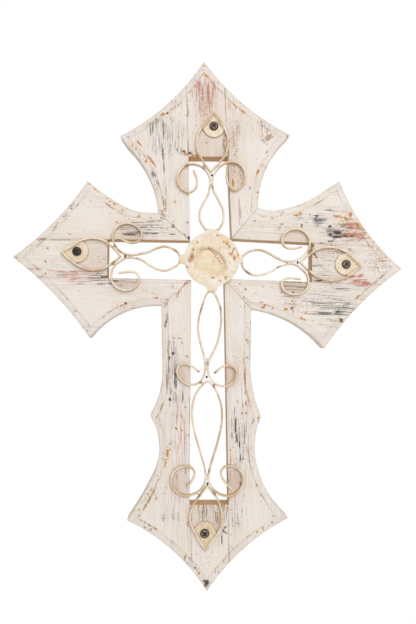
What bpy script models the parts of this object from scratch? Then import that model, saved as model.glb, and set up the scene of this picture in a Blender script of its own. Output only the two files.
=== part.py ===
# Wall cross of mitred planks round an open cross-shaped slot, with scrolled strap iron in front.
# Metres, +Z up. The front looks toward -Y and the back lies in the plane y = 0.
# Outline and strap points are written in millimetres from the middle of the crossing.
import math

import bpy
import bmesh
from mathutils import Vector

MM = 0.001

# Overall size of the outline; the drawing below is stretched to it
WIDTH = 357.4
HEIGHT = 484.9

# Boards
BOARD_T = 19.0 * MM
BEVEL_W = 6.0
BEVEL_DROP = 1.2 * MM
SEAM_GAP = 0.3

# Place of the hanging face on the back, above the crossing
HANG_Z = 140.0

# Strap iron
STRAP_W = 1.7
STRAP_D = 4.5 * MM
AIR = 0.3 * MM
AIR_MM = 0.3
STEP = 3.6

# The ironwork's drawing is spread by this share about one point, to sit over the boards
SPREAD = 1.0074
SPREAD_AT = (-26.9, -64.5)

# Disc with its shallow dish
DISC_X = 5.6
DISC_Z = -0.9
DISC_R = 24.9
DISC_T = 1.6 * MM
DISH_R = 17.4
DISH_WALL = 2.2
DISH_DEEP = 2.4 * MM

# Tongues of the disc: direction in degrees, half width in degrees, length past the rim
TONGUES = [(90.0, 12.0, 2.4), (180.0, 9.0, 4.8), (270.0, 10.0, 4.6), (0.0, 8.5, 3.6)]
TONGUE_EASE = 1.5

# Tab plates and their screws
TAB_T = 2.0 * MM
TAB_R = 10.2
HEAD_R = 4.15
HEAD_H = 2.3 * MM
SHANK_R = 2.1
SHANK_CLEAR = 0.3
SHANK_L = 12.0 * MM
RECESS_LONG = 2.35
RECESS_WIDE = 0.55
RECESS_DEEP = 1.3 * MM
RECESS_TURN = 0.4
ROUND_STEPS = 20

# Drawing of the rounded side of a tab plate
TAB_STEPS = 40
TAB_POINT_HALF = math.radians(70.0)

# Levels, all measured along Y
Y_BACK = 0.0
Y_FRONT = -BOARD_T
Y_STRAP_BACK = Y_FRONT - AIR
Y_STRAP_FRONT = Y_STRAP_BACK - STRAP_D
Y_DISC_BACK = Y_STRAP_FRONT - AIR
Y_DISC_FRONT = Y_DISC_BACK - DISC_T
Y_TAB_BACK = Y_FRONT - AIR
Y_TAB_FRONT = Y_TAB_BACK - TAB_T
Y_HEAD_BACK = Y_TAB_FRONT - AIR
Y_HEAD_FRONT = Y_HEAD_BACK - HEAD_H

# Outer edge, clockwise from the top tip: x, z, bow toward the board of the edge to the next point
OUTLINE = [
    (0.0, 183.6, 6.4),
    (79.6, 115.8, 7.6),
    (49.0, 47.7, 0.6),
    (64.1, 45.5, 3.9),
    (113.4, 65.5, 0.1),
    (125.4, 72.8, 6.3),
    (183.0, -8.9, 4.7),
    (109.6, -82.2, 7.2),
    (42.2, -45.6, 0.0),
    (41.0, -101.0, 1.9),
    (50.6, -144.6, 4.9),
    (48.2, -194.5, 3.3),
    (74.4, -237.0, 6.3),
    (0.0, -301.3, 6.9),
    (-71.8, -236.3, 1.1),
    (-46.4, -192.6, 5.9),
    (-50.6, -142.3, 2.9),
    (-39.6, -101.0, 0.0),
    (-40.2, -41.9, 8.9),
    (-105.2, -71.3, 4.1),
    (-174.4, 2.4, 4.3),
    (-107.0, 72.0, 0.9),
    (-80.7, 52.9, 1.2),
    (-60.0, 43.8, 0.3),
    (-43.0, 43.1, 6.5),
    (-71.1, 105.1, 0.0),
    (-77.0, 113.6, 6.7),
]

# Slot corners: at the crossing, at the four ends, and a point on each seam further out
CROSSING = {"tl": (-13.5, 17.2), "tr": (24.4, 19.0), "bl": (-12.6, -18.6), "br": (17.6, -17.6)}
ARMPIT = {"tl": (-43.0, 43.1), "tr": (49.0, 47.7), "bl": (-40.2, -41.9), "br": (42.2, -45.6)}
ENDS = {
    "top": ((-14.6, 94.7), (21.7, 94.9), (-16.5, 154.7), (19.3, 150.5)),
    "right": ((99.3, 15.1), (98.3, -20.8), (160.0, 12.1), (160.0, -23.3)),
    "bottom": ((20.1, -223.6), (-15.1, -223.0), (20.1, -276.2), (-13.7, -275.0)),
    "left": ((-89.2, -16.7), (-88.8, 18.4), (-145.2, -15.9), (-148.0, 18.6)),
}

# Rim of the disc, which the closed loops of the scrolls meet
DISC_LEFT = DISC_X - DISC_R
DISC_RIGHT = DISC_X + DISC_R
DISC_TOP = DISC_Z + DISC_R
DISC_LOW = DISC_Z - DISC_R

# Scroll straps, each from one curled end, through the closed loop, to the other curled end
SCROLLS = {
    "scroll_top": [
        (-10.2, 80.5), (-7.2, 71.0), (-8.6, 64.2), (-14.5, 60.3), (-21.7, 64.0), (-25.2, 72.1),
        (-22.9, 79.8), (-16.8, 85.2), (-8.0, 85.9), (-0.6, 82.0), (3.8, 75.5), (4.5, 68.5),
        (2.8, 58.5), (-2.4, 49.1), (-5.1, 41.8), (-4.6, 34.4),
        (-1.0, DISC_TOP + 4.2), (2.4, DISC_TOP + 1.8),
        (10.4, DISC_TOP + 1.8), (14.0, DISC_TOP + 5.2),
        (16.7, 35.8), (16.2, 44.3), (12.7, 52.8), (8.2, 61.0),
        (6.6, 68.5), (8.2, 76.6), (13.5, 83.9), (20.8, 87.8), (28.6, 87.4), (34.6, 82.8),
        (36.6, 74.8), (32.9, 65.9), (26.4, 62.6), (21.5, 67.3), (19.7, 75.0), (20.5, 85.0),
    ],
    "scroll_left": [
        (-76.4, 17.9), (-70.2, 15.1), (-64.5, 14.3), (-59.8, 16.4), (-57.5, 20.8), (-58.4, 25.6),
        (-62.7, 29.8), (-69.0, 32.0), (-75.1, 31.3), (-80.2, 28.2), (-83.0, 23.2), (-83.1, 17.1),
        (-81.0, 11.2), (-77.2, 6.6), (-71.5, 3.9), (-64.5, 3.4), (-52.5, 5.8), (-44.5, 9.2),
        (-37.0, 11.0), (DISC_LEFT - 10.1, 8.8), (DISC_LEFT - 4.5, 3.6),
        (DISC_LEFT - 4.5, -3.8), (DISC_LEFT - 10.0, -8.1), (-36.5, -10.8),
        (-43.6, -9.6), (-50.8, -5.8), (-57.6, -1.2), (-64.5, 0.6), (-71.5, 0.8), (-77.2, -2.4),
        (-82.2, -6.4), (-84.7, -12.0), (-84.8, -18.0), (-82.6, -23.3), (-78.2, -27.0), (-72.0, -28.5),
        (-66.3, -27.1), (-61.7, -23.3), (-60.0, -17.9), (-62.2, -13.5), (-66.8, -11.8), (-78.7, -12.8),
    ],
    "scroll_right": [
        (88.1, 10.8), (80.5, 9.3), (75.2, 9.6), (71.5, 12.2), (69.8, 16.8), (71.3, 21.9),
        (76.0, 25.6), (81.8, 26.9), (87.6, 26.1), (92.4, 22.6), (95.0, 17.0), (95.0, 10.8),
        (92.7, 5.4), (88.4, 1.2), (82.6, -1.6), (75.7, -2.8), (69.9, -1.6), (64.1, 1.2),
        (57.2, 5.2), (50.4, 7.7), (43.8, 7.6),
        (DISC_RIGHT + 7.6, 5.4), (DISC_RIGHT + 3.1, 1.2), (DISC_RIGHT + 3.1, -6.4),
        (DISC_RIGHT + 5.3, -10.4), (40.7, -14.0), (46.5, -15.3), (53.5, -14.2), (60.5, -11.3), (66.9, -7.6),
        (75.7, -5.0), (82.0, -5.4), (86.4, -8.2), (91.0, -12.6), (93.7, -18.2), (93.3, -25.0),
        (90.0, -29.8), (84.2, -32.4), (77.4, -32.3), (71.9, -29.4), (69.3, -24.8), (70.0, -20.6),
        (73.2, -18.4), (78.5, -17.8), (86.7, -18.8),
    ],
    "scroll_upper": [
        (-6.2, -102.6), (-13.3, -97.0), (-18.3, -94.8), (-23.4, -95.8), (-26.2, -100.6), (-24.7, -107.0),
        (-19.4, -111.9), (-12.7, -114.1), (-6.4, -112.4), (-2.4, -107.2), (-0.8, -100.8), (-0.9, -94.0),
        (-2.2, -86.3), (-5.3, -75.0), (-6.9, -65.0), (-6.4, -55.0), (-3.4, -43.7),
        (0.4, DISC_LOW - 7.4), (4.2, DISC_LOW - 4.0), (8.4, DISC_LOW - 6.4),
        (12.9, -43.0), (14.1, -53.5), (13.1, -64.7), (10.0, -77.6),
        (5.0, -88.0), (2.1, -94.0), (1.7, -100.8), (3.4, -107.4), (8.2, -113.4), (15.3, -115.6),
        (22.9, -113.0), (27.4, -106.0), (26.2, -99.6), (19.8, -96.6), (13.8, -98.8), (7.2, -104.0),
    ],
    "scroll_lower": [
        (-17.4, -205.6), (-12.6, -199.0), (-10.8, -193.2), (-13.9, -188.1), (-20.5, -186.7),
        (-27.5, -189.5), (-31.4, -195.8), (-31.1, -203.2), (-26.0, -210.2), (-17.2, -213.0),
        (-8.4, -210.4), (-3.0, -205.2), (-1.0, -198.6), (-1.6, -189.4), (-5.9, -173.4),
        (-10.4, -157.6), (-12.5, -145.4), (-12.7, -135.9), (-11.0, -126.6), (-7.0, -118.6),
        (-2.0, -113.2), (0.9, -111.2), (3.8, -112.4), (7.6, -117.0), (11.0, -124.2),
        (13.6, -132.9), (14.3, -141.7), (13.5, -151.3), (10.6, -164.0), (7.0, -176.0),
        (3.1, -188.4), (1.6, -198.6), (4.6, -206.2), (11.3, -212.0), (19.6, -213.9),
        (27.8, -210.4), (32.8, -202.9), (32.7, -195.2), (28.0, -189.0), (21.4, -187.0),
        (15.6, -188.6), (12.9, -193.6), (15.4, -200.0), (22.1, -207.4),
    ],
}

# Pointed arches: the crotch, one leg, the point, the other leg back; then the screw's place
ARCHES = {
    "top": [
        (5.3, 79.4), (0.9, 84.8), (-3.8, 92.1), (-6.4, 98.0), (-7.3, 103.8), (-6.9, 109.6),
        (-4.6, 116.2), (1.6, 125.2), (8.4, 133.9), (14.0, 126.4), (18.2, 118.5), (20.6, 112.0),
        (21.2, 105.7), (20.4, 99.3), (17.6, 92.8), (12.6, 87.0),
    ],
    "left": [
        (-76.8, 2.1), (-82.6, 8.8), (-87.0, 13.0), (-92.4, 16.8), (-100.6, 18.4), (-108.2, 17.5),
        (-115.0, 14.7), (-122.0, 10.2), (-128.8, 5.8), (-122.0, -0.6), (-114.6, -6.0),
        (-106.1, -9.5), (-97.4, -10.0), (-89.6, -7.8), (-83.3, -3.5),
    ],
    "right": [
        (86.9, -3.6), (93.1, 1.9), (98.0, 6.2), (103.6, 9.0), (111.7, 10.4), (121.7, 9.2),
        (131.4, 4.4), (138.0, -2.0), (142.4, -7.6), (137.1, -11.4), (130.4, -16.2),
        (121.4, -19.3), (112.4, -19.9), (105.0, -17.9), (98.6, -14.4), (92.4, -9.0),
    ],
    "bottom": [
        (0.5, -204.9), (-6.3, -213.2), (-11.0, -219.4), (-14.3, -227.0), (-15.2, -234.6),
        (-12.4, -242.4), (-7.4, -252.0), (-1.5, -261.4), (4.4, -253.8), (9.6, -246.7),
        (12.4, -240.2), (13.4, -232.2), (12.3, -223.0), (8.2, -214.2),
    ],
}
SCREWS = {
    "top": (8.4, 121.2),
    "left": (-115.6, 6.6),
    "right": (129.0, -5.2),
    "bottom": (-2.0, -247.0),
}


DRAWN_W = max(p[0] for p in OUTLINE) - min(p[0] for p in OUTLINE)
DRAWN_H = max(p[1] for p in OUTLINE) - min(p[1] for p in OUTLINE)
FIT_X = WIDTH / DRAWN_W
FIT_Z = HEIGHT / DRAWN_H


def fit(point):
    """Point of the drawing, stretched to the overall size."""
    return Vector((point[0] * FIT_X, point[1] * FIT_Z))


def fit_iron(point):
    """Point of the ironwork's drawing, spread and then stretched like the boards."""
    x = SPREAD_AT[0] + (point[0] - SPREAD_AT[0]) * SPREAD
    z = SPREAD_AT[1] + (point[1] - SPREAD_AT[1]) * SPREAD
    return fit((x, z))


def to_world(x, z, y):
    """Point in millimetres as a vector in metres, from the hanging face."""
    return Vector((x * MM, y, (z - HANG_Z) * MM))


def clear_scene():
    for ob in list(bpy.data.objects):
        bpy.data.objects.remove(ob, do_unlink=True)


def make_material(name, colour, metallic, roughness):
    mat = bpy.data.materials.new(name)
    mat.use_nodes = True
    shader = mat.node_tree.nodes["Principled BSDF"]
    shader.inputs["Base Color"].default_value = (*colour, 1.0)
    shader.inputs["Metallic"].default_value = metallic
    shader.inputs["Roughness"].default_value = roughness
    mat.diffuse_color = (*colour, 1.0)
    return mat


def link_mesh(name, bm, mat):
    """Turn a bmesh into a named object with outward faces."""
    bmesh.ops.recalc_face_normals(bm, faces=bm.faces[:])
    me = bpy.data.meshes.new(name)
    bm.to_mesh(me)
    bm.free()
    me.materials.append(mat)
    ob = bpy.data.objects.new(name, me)
    bpy.context.scene.collection.objects.link(ob)
    return ob


def arc_centre(p, q, bow):
    """Circle of the edge p to q that bows to the right of travel, or None for a straight edge."""
    if abs(bow) < 1e-6:
        return None
    chord = q - p
    half = chord.length / 2.0
    radius = (half * half + bow * bow) / (2.0 * bow)
    right = Vector((chord.y, -chord.x)).normalized()
    return (p + q) / 2.0 + right * (bow - radius), radius


def edge_points(p, q, circle, count):
    """Points from p up to, not including, q along the edge."""
    pts = []
    for i in range(count):
        t = i / count
        if circle is None:
            pts.append(p.lerp(q, t))
            continue
        centre, radius = circle
        a = math.atan2(p.y - centre.y, p.x - centre.x)
        b = math.atan2(q.y - centre.y, q.x - centre.x)
        turn = (b - a + math.pi) % (2.0 * math.pi) - math.pi
        ang = a + turn * t
        r = (p - centre).length
        pts.append(Vector((centre.x + r * math.cos(ang), centre.y + r * math.sin(ang))))
    return pts


def inset_corner(corner, edge_in, edge_out, width):
    """Point that lies the same width inside both edges that meet at a corner."""
    point = corner.copy()
    for _ in range(30):
        rows = []
        for p, q, circle in (edge_in, edge_out):
            if circle is None:
                along = (q - p).normalized()
                normal = Vector((along.y, -along.x))
                dist = (point - p).dot(normal)
            else:
                centre, radius = circle
                away = point - centre
                normal = away.normalized()
                dist = away.length - radius
            rows.append((normal, dist - width))
        (n1, d1), (n2, d2) = rows
        det = n1.x * n2.y - n1.y * n2.x
        if abs(det) < 0.05:
            point = point - (n1 * d1 + n2 * d2) / 2.0
            continue
        point = point - Vector(((d1 * n2.y - d2 * n1.y) / det, (n1.x * d2 - n2.x * d1) / det))
    return point


def outline_loops(width):
    """Outer edge and the line of the bevel's inner side, with matching points."""
    corners = [fit(p) for p in OUTLINE]
    count = len(corners)
    edges = []
    for i, (_, _, bow) in enumerate(OUTLINE):
        p = corners[i]
        q = corners[(i + 1) % count]
        edges.append((p, q, arc_centre(p, q, bow)))
    inner = [inset_corner(corners[i], edges[i - 1], edges[i], width) for i in range(count)]
    outer_pts = []
    inner_pts = []
    for i, (p, q, circle) in enumerate(edges):
        steps = 1
        if circle is not None:
            steps = max(3, round((q - p).length / 8.5))
        outer_pts += edge_points(p, q, circle, steps)
        inner_pts += edge_points(inner[i], inner[(i + 1) % count], circle, steps)
    return outer_pts, inner_pts


def bevelled_board(mat):
    """The whole cross as one board with its bevelled front edge, before it is cut into planks."""
    outer, inner = outline_loops(BEVEL_W)
    bm = bmesh.new()
    rows = []
    for pts, y in ((outer, Y_BACK), (outer, Y_FRONT + BEVEL_DROP), (inner, Y_FRONT)):
        rows.append([bm.verts.new(to_world(p.x, p.y, y)) for p in pts])
    count = len(outer)
    for low, high in zip(rows, rows[1:]):
        for i in range(count):
            j = (i + 1) % count
            bm.faces.new((low[i], low[j], high[j], high[i]))
    bm.faces.new(rows[0])
    bm.faces.new(rows[2])
    return link_mesh("board", bm, mat)


def inset_polygon(points, width):
    """Move every side of a clockwise polygon inward by a width."""
    count = len(points)
    moved = []
    for i in range(count):
        p, q, r = points[i - 1], points[i], points[(i + 1) % count]
        a = (q - p).normalized()
        b = (r - q).normalized()
        na = Vector((a.y, -a.x))
        nb = Vector((b.y, -b.x))
        det = na.x * nb.y - na.y * nb.x
        moved.append(q + Vector((width * (nb.y - na.y) / det, width * (na.x - nb.x) / det)))
    return moved


def prism(name, points, y0, y1, mat):
    bm = bmesh.new()
    low = [bm.verts.new(to_world(p.x, p.y, y0)) for p in points]
    high = [bm.verts.new(to_world(p.x, p.y, y1)) for p in points]
    count = len(points)
    for i in range(count):
        j = (i + 1) % count
        bm.faces.new((low[i], low[j], high[j], high[i]))
    bm.faces.new(low)
    bm.faces.new(high)
    return link_mesh(name, bm, mat)


def boolean(target, cutter, operation):
    mod = target.modifiers.new("cut", "BOOLEAN")
    mod.operation = operation
    mod.solver = "EXACT"
    mod.object = cutter
    bpy.context.view_layer.objects.active = target
    bpy.ops.object.modifier_apply(modifier=mod.name)


def beyond(p, q, times):
    """Point on the line from p through q, a few times as far away as q."""
    return p + (q - p) * times


def plank_regions():
    """Outline of each plank's share of the board, clockwise, reaching past the outer edge."""
    cross = {k: fit(v) for k, v in CROSSING.items()}
    mitre = {k: beyond(cross[k], fit(ARMPIT[k]), 6.0) for k in cross}
    ends = {}
    for arm, (a, b, a_out, b_out) in ENDS.items():
        a, b = fit(a), fit(b)
        ends[arm] = (a, b, beyond(a, fit(a_out), 3.0), beyond(b, fit(b_out), 3.0))
    regions = {}
    sides = (
        ("top", "tl", "tr", "plank_top_left", "plank_top_right"),
        ("right", "tr", "br", "plank_right_upper", "plank_right_lower"),
        ("bottom", "br", "bl", "plank_bottom_right", "plank_bottom_left"),
        ("left", "bl", "tl", "plank_left_lower", "plank_left_upper"),
    )
    for arm, first, second, name_first, name_second in sides:
        a, b, a_far, b_far = ends[arm]
        regions["end_" + arm] = [a, a_far, b_far, b]
        regions[name_first] = [cross[first], mitre[first], a_far, a]
        regions[name_second] = [cross[second], b, b_far, mitre[second]]
    return regions


def make_planks(mat):
    board = bevelled_board(mat)
    planks = {}
    for name, region in plank_regions().items():
        share = inset_polygon(region, SEAM_GAP / 2.0)
        plank = prism(name, share, Y_BACK + 0.02, Y_FRONT - 0.02, mat)
        boolean(plank, board, "INTERSECT")
        planks[name] = plank
    bpy.data.objects.remove(board, do_unlink=True)
    return planks


def spline(points, step):
    """Smooth line through the drawn points, with even steps."""
    pts = [fit_iron(p) for p in points]
    fine = []
    last = len(pts) - 1
    for i in range(last):
        p1, p2 = pts[i], pts[i + 1]
        p0 = pts[i - 1] if i > 0 else p1 + (p1 - p2)
        p3 = pts[i + 2] if i + 2 <= last else p2 + (p2 - p1)
        for k in range(12):
            t = k / 12.0
            a = (p2 - p0) * 0.5
            b = (p3 - p1) * 0.5
            h = p1 * (2 * t**3 - 3 * t**2 + 1) + p2 * (3 * t**2 - 2 * t**3)
            fine.append(h + a * (t**3 - 2 * t**2 + t) + b * (t**3 - t**2))
    fine.append(pts[-1])
    total = sum((q - p).length for p, q in zip(fine, fine[1:]))
    count = max(4, round(total / step))
    even = [fine[0]]
    run = 0.0
    target = total / count
    for p, q in zip(fine, fine[1:]):
        seg = (q - p).length
        while run + seg >= target - 1e-9 and len(even) < count:
            even.append(p.lerp(q, (target - run) / seg))
            target += total / count
        run += seg
    even.append(fine[-1])
    return even


def ribbon_sides(path, closed):
    """Left and right rows of a strap's edge line, mitred where the line turns."""
    count = len(path)
    left = []
    right = []
    for i in range(count):
        before = path[i - 1] if i > 0 or closed else None
        after = path[(i + 1) % count] if i < count - 1 or closed else None
        dirs = []
        if before is not None:
            dirs.append((path[i] - before).normalized())
        if after is not None:
            dirs.append((after - path[i]).normalized())
        tangent = (dirs[0] + dirs[-1]).normalized()
        normal = Vector((-tangent.y, tangent.x))
        reach = STRAP_W / 2.0 / max(0.35, tangent.dot(dirs[0]))
        left.append(path[i] + normal * reach)
        right.append(path[i] - normal * reach)
    return left, right


def make_strap(name, path, closed, mat):
    left, right = ribbon_sides(path, closed)
    bm = bmesh.new()
    rows = []
    for a, b in zip(left, right):
        corners = ((a, Y_STRAP_BACK), (b, Y_STRAP_BACK), (b, Y_STRAP_FRONT), (a, Y_STRAP_FRONT))
        rows.append([bm.verts.new(to_world(p.x, p.y, y)) for p, y in corners])
    pairs = list(zip(rows, rows[1:]))
    if closed:
        pairs.append((rows[-1], rows[0]))
    for low, high in pairs:
        for i in range(4):
            j = (i + 1) % 4
            bm.faces.new((low[i], low[j], high[j], high[i]))
    if not closed:
        bm.faces.new(rows[0])
        bm.faces.new(rows[-1])
    return link_mesh(name, bm, mat)


def arch_path(points):
    """Both legs of an arch as smooth lines that meet at the crotch and at the point."""
    far = max(range(len(points)), key=lambda i: (Vector(points[i]) - Vector(points[0])).length)
    first = spline(points[: far + 1], STEP)
    second = spline(points[far:] + points[:1], STEP)
    return first[:-1] + second[:-1]


def lathe(name, rings, segments, mat, centre):
    """Closed turned solid about the Y direction; each ring is a radius and a level."""
    bm = bmesh.new()
    rows = []
    for radius, y in rings:
        if radius < 1e-9:
            rows.append([bm.verts.new(to_world(centre[0], centre[1], y))])
            continue
        row = []
        for i in range(segments):
            ang = 2.0 * math.pi * i / segments
            x = centre[0] + radius * math.cos(ang)
            z = centre[1] + radius * math.sin(ang)
            row.append(bm.verts.new(to_world(x, z, y)))
        rows.append(row)
    for low, high in zip(rows, rows[1:]):
        for i in range(segments):
            j = (i + 1) % segments
            if len(low) == 1:
                bm.faces.new((low[0], high[j], high[i]))
            elif len(high) == 1:
                bm.faces.new((low[i], low[j], high[0]))
            else:
                bm.faces.new((low[i], low[j], high[j], high[i]))
    return link_mesh(name, bm, mat)


def turn_between(a, b):
    """Angle between two directions in degrees."""
    return abs((a - b + 180.0) % 360.0 - 180.0)


def make_disc(mat):
    """Thin dished disc with four short tongues toward the scrolls."""
    angles = [i * 6.0 for i in range(60)]
    for mid, half, _ in TONGUES:
        angles = [a for a in angles if turn_between(a, mid) > half + 2.0 * TONGUE_EASE]
        for off in (-half - TONGUE_EASE, -half + 0.5, 0.0, half - 0.5, half + TONGUE_EASE):
            angles.append((mid + off) % 360.0)
    angles.sort()
    edge = []
    for a in angles:
        reach = DISC_R
        for mid, half, length in TONGUES:
            if turn_between(a, mid) < half:
                reach = DISC_R + length
        edge.append(reach)
    rings = [
        (DISH_R - DISH_WALL, Y_DISC_FRONT + DISH_DEEP),
        (DISH_R, Y_DISC_FRONT),
        (None, Y_DISC_FRONT),
        (None, Y_DISC_BACK),
        (DISH_R + 0.6, Y_DISC_BACK),
        (DISH_R - DISH_WALL + 0.6, Y_DISC_BACK + DISH_DEEP),
    ]
    centre = fit_iron((DISC_X, DISC_Z))
    bm = bmesh.new()
    rows = []
    for radius, y in rings:
        row = []
        for a, reach in zip(angles, edge):
            r = reach if radius is None else radius
            x = centre.x + r * math.cos(math.radians(a))
            z = centre.y + r * math.sin(math.radians(a))
            row.append(bm.verts.new(to_world(x, z, y)))
        rows.append(row)
    count = len(angles)
    for low, high in zip(rows, rows[1:]):
        for i in range(count):
            j = (i + 1) % count
            bm.faces.new((low[i], low[j], high[j], high[i]))
    bm.faces.new(rows[0])
    bm.faces.new(rows[-1])
    return link_mesh("disc", bm, mat)


def ray_reach(centre, ang, loop):
    """Distance from a centre to a closed line in one direction."""
    d = Vector((math.cos(ang), math.sin(ang)))
    best = 1e9
    for i, p in enumerate(loop):
        e = loop[(i + 1) % len(loop)] - p
        det = d.x * e.y - d.y * e.x
        if abs(det) < 1e-12:
            continue
        w = p - centre
        t = (w.x * e.y - w.y * e.x) / det
        s = (w.x * d.y - w.y * d.x) / det
        if t > 0.0 and -1e-9 <= s <= 1.0 + 1e-9:
            best = min(best, t)
    return best


def ring_size(loop, centre):
    """Sum of the distances from a centre to a line's points."""
    return sum((p - centre).length for p in loop)


def make_tab(arm, mat):
    """Plate that fills the pointed end of an arch and is rounded toward the crossing."""
    path = arch_path(ARCHES[arm])
    centre = fit_iron(SCREWS[arm])
    far_side, near_side = ribbon_sides(path, True)
    if ring_size(far_side, centre) < ring_size(near_side, centre):
        far_side, near_side = near_side, far_side
    grow = 1.0 + 2.0 * AIR_MM / STRAP_W
    inner = [p + (q - p) * grow for p, q in zip(far_side, near_side)]
    crotch = fit_iron(ARCHES[arm][0])
    point = max((fit_iron(p) for p in ARCHES[arm]), key=lambda p: (p - crotch).length)
    toward = math.atan2(point.y - centre.y, point.x - centre.x)
    outline = []
    for i in range(TAB_STEPS):
        ang = toward - 2.0 * math.pi * i / TAB_STEPS
        reach = ray_reach(centre, ang, inner)
        off = abs((ang - toward + math.pi) % (2.0 * math.pi) - math.pi)
        if off > TAB_POINT_HALF:
            reach = min(reach, TAB_R)
        outline.append(centre + Vector((math.cos(ang), math.sin(ang))) * reach)
    tab = prism("tab_" + arm, outline, Y_TAB_BACK, Y_TAB_FRONT, mat)
    hole = lathe("hole", bore_rings(Y_TAB_BACK + 0.01), ROUND_STEPS, mat, centre)
    hide_cutter(hole)
    boolean(tab, hole, "DIFFERENCE")
    bpy.data.objects.remove(hole, do_unlink=True)
    return tab


def bore_rings(y_end):
    """Round bore for a screw's shank, from before the plate to a given level."""
    r = SHANK_R + SHANK_CLEAR
    y0 = Y_TAB_FRONT - 0.01
    return [(0.0, y0), (r, y0), (r, y_end), (0.0, y_end)]


def hide_cutter(ob):
    ob.hide_render = True
    ob.display_type = "WIRE"


def make_screw(arm, mat):
    """Cross-recess screw with a low domed head."""
    centre = fit_iron(SCREWS[arm])
    y_tip = Y_FRONT + SHANK_L
    rings = [
        (0.0, Y_HEAD_FRONT),
        (HEAD_R * 0.62, Y_HEAD_FRONT + HEAD_H * 0.1),
        (HEAD_R * 0.9, Y_HEAD_FRONT + HEAD_H * 0.42),
        (HEAD_R, Y_HEAD_BACK),
        (SHANK_R, Y_HEAD_BACK),
        (SHANK_R, y_tip - 3.0 * MM),
        (0.0, y_tip),
    ]
    screw = lathe("screw_" + arm, rings, ROUND_STEPS, mat, centre)
    cx, cz = centre
    long, wide = RECESS_LONG, RECESS_WIDE
    star = []
    for k in range(4):
        ang = math.pi / 2.0 * k + RECESS_TURN
        for along, across in ((wide, -wide), (long, -wide), (long, wide)):
            x = cx + along * math.cos(ang) - across * math.sin(ang)
            z = cz + along * math.sin(ang) + across * math.cos(ang)
            star.append(Vector((x, z)))
    cutter = prism("recess", star, Y_HEAD_FRONT + RECESS_DEEP, Y_HEAD_FRONT - 0.01, mat)
    hide_cutter(cutter)
    boolean(screw, cutter, "DIFFERENCE")
    bpy.data.objects.remove(cutter, do_unlink=True)
    return screw


def bore_plank(plank, arm, mat):
    centre = fit_iron(SCREWS[arm])
    bore = lathe("bore", bore_rings(Y_FRONT + SHANK_L + AIR), ROUND_STEPS, mat, centre)
    hide_cutter(bore)
    boolean(plank, bore, "DIFFERENCE")
    bpy.data.objects.remove(bore, do_unlink=True)


def main():
    clear_scene()
    wood = make_material("painted_wood", (0.82, 0.76, 0.69), 0.0, 0.75)
    iron = make_material("painted_iron", (0.78, 0.68, 0.50), 0.0, 0.55)
    ivory = make_material("ivory_disc", (0.84, 0.76, 0.62), 0.0, 0.5)
    steel = make_material("dark_steel", (0.10, 0.09, 0.08), 0.9, 0.45)
    planks = make_planks(wood)
    for name, points in SCROLLS.items():
        make_strap(name, spline(points, STEP), False, iron)
    make_disc(ivory)
    for arm in ARCHES:
        make_strap("arch_" + arm, arch_path(ARCHES[arm]), True, iron)
        make_tab(arm, ivory)
        make_screw(arm, steel)
        bore_plank(planks["end_" + arm], arm, wood)


main()
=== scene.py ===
# Wall cross: worn off-white planks, painted strap-iron scrolls, ivory disc and tabs, dark screws.
# Drawing points are in millimetres from the middle of the crossing, as on the part itself.
import math

import bmesh
import bpy
import numpy as np
from mathutils import Euler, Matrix, Vector, kdtree, noise


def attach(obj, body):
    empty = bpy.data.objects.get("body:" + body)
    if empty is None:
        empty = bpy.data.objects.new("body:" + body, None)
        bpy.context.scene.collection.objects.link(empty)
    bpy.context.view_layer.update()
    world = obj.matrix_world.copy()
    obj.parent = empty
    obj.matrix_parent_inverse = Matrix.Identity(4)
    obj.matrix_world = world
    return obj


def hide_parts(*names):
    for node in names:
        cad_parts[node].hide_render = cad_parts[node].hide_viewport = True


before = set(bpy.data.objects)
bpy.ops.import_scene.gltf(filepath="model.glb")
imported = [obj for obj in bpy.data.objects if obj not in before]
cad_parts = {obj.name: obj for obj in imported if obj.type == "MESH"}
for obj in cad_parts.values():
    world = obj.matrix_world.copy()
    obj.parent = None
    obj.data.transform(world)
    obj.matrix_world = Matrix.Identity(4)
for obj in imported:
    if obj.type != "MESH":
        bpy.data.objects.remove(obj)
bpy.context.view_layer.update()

MM = 0.001
# Height of the frame's origin above the middle of the crossing, in mm
HANG_Z = 140.0
# Depths in metres, from the front of the boards outward. AIR is the gap between pieces that touch.
Y_FRONT = -0.019
BEVEL_DROP = 0.0012
AIR = 0.0003
Y_STRAP_BACK = Y_FRONT - AIR
Y_STRAP_FRONT = Y_STRAP_BACK - 0.0045
Y_DISC_BACK = Y_STRAP_FRONT - AIR
Y_DISC_FRONT = Y_DISC_BACK - 0.0016
Y_TAB_BACK = Y_FRONT - AIR
Y_TAB_FRONT = Y_TAB_BACK - 0.002
Y_HEAD_BACK = Y_TAB_FRONT - AIR
# Width of the straps, middle and radius of the disc, radius and height of a screw head, in mm
STRAP_W = 1.7
DISC = (5.6, -0.9)
DISC_R = 24.9
HEAD_R = 4.15
HEAD_HIGH = 2.3
# Step of the fine grid on the front of the boards, in metres
GRID = 0.0009

# Direction of the grain on each plank in degrees from +X, warmth of its paint, and a seed
PLANKS = {
    "plank_top_left": (91.5, 0.45, 11),
    "plank_top_right": (92.0, 0.55, 12),
    "plank_right_upper": (-3.0, 0.50, 13),
    "plank_right_lower": (-2.5, 0.50, 14),
    "plank_bottom_right": (89.5, 0.50, 15),
    "plank_bottom_left": (90.6, 0.42, 16),
    "plank_left_lower": (-0.8, 0.60, 17),
    "plank_left_upper": (-0.4, 0.55, 18),
    "end_top": (90.5, 0.60, 19),
    "end_right": (-2.5, 0.45, 20),
    "end_bottom": (90.0, 0.50, 21),
    "end_left": (-0.5, 0.60, 22),
}

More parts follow.
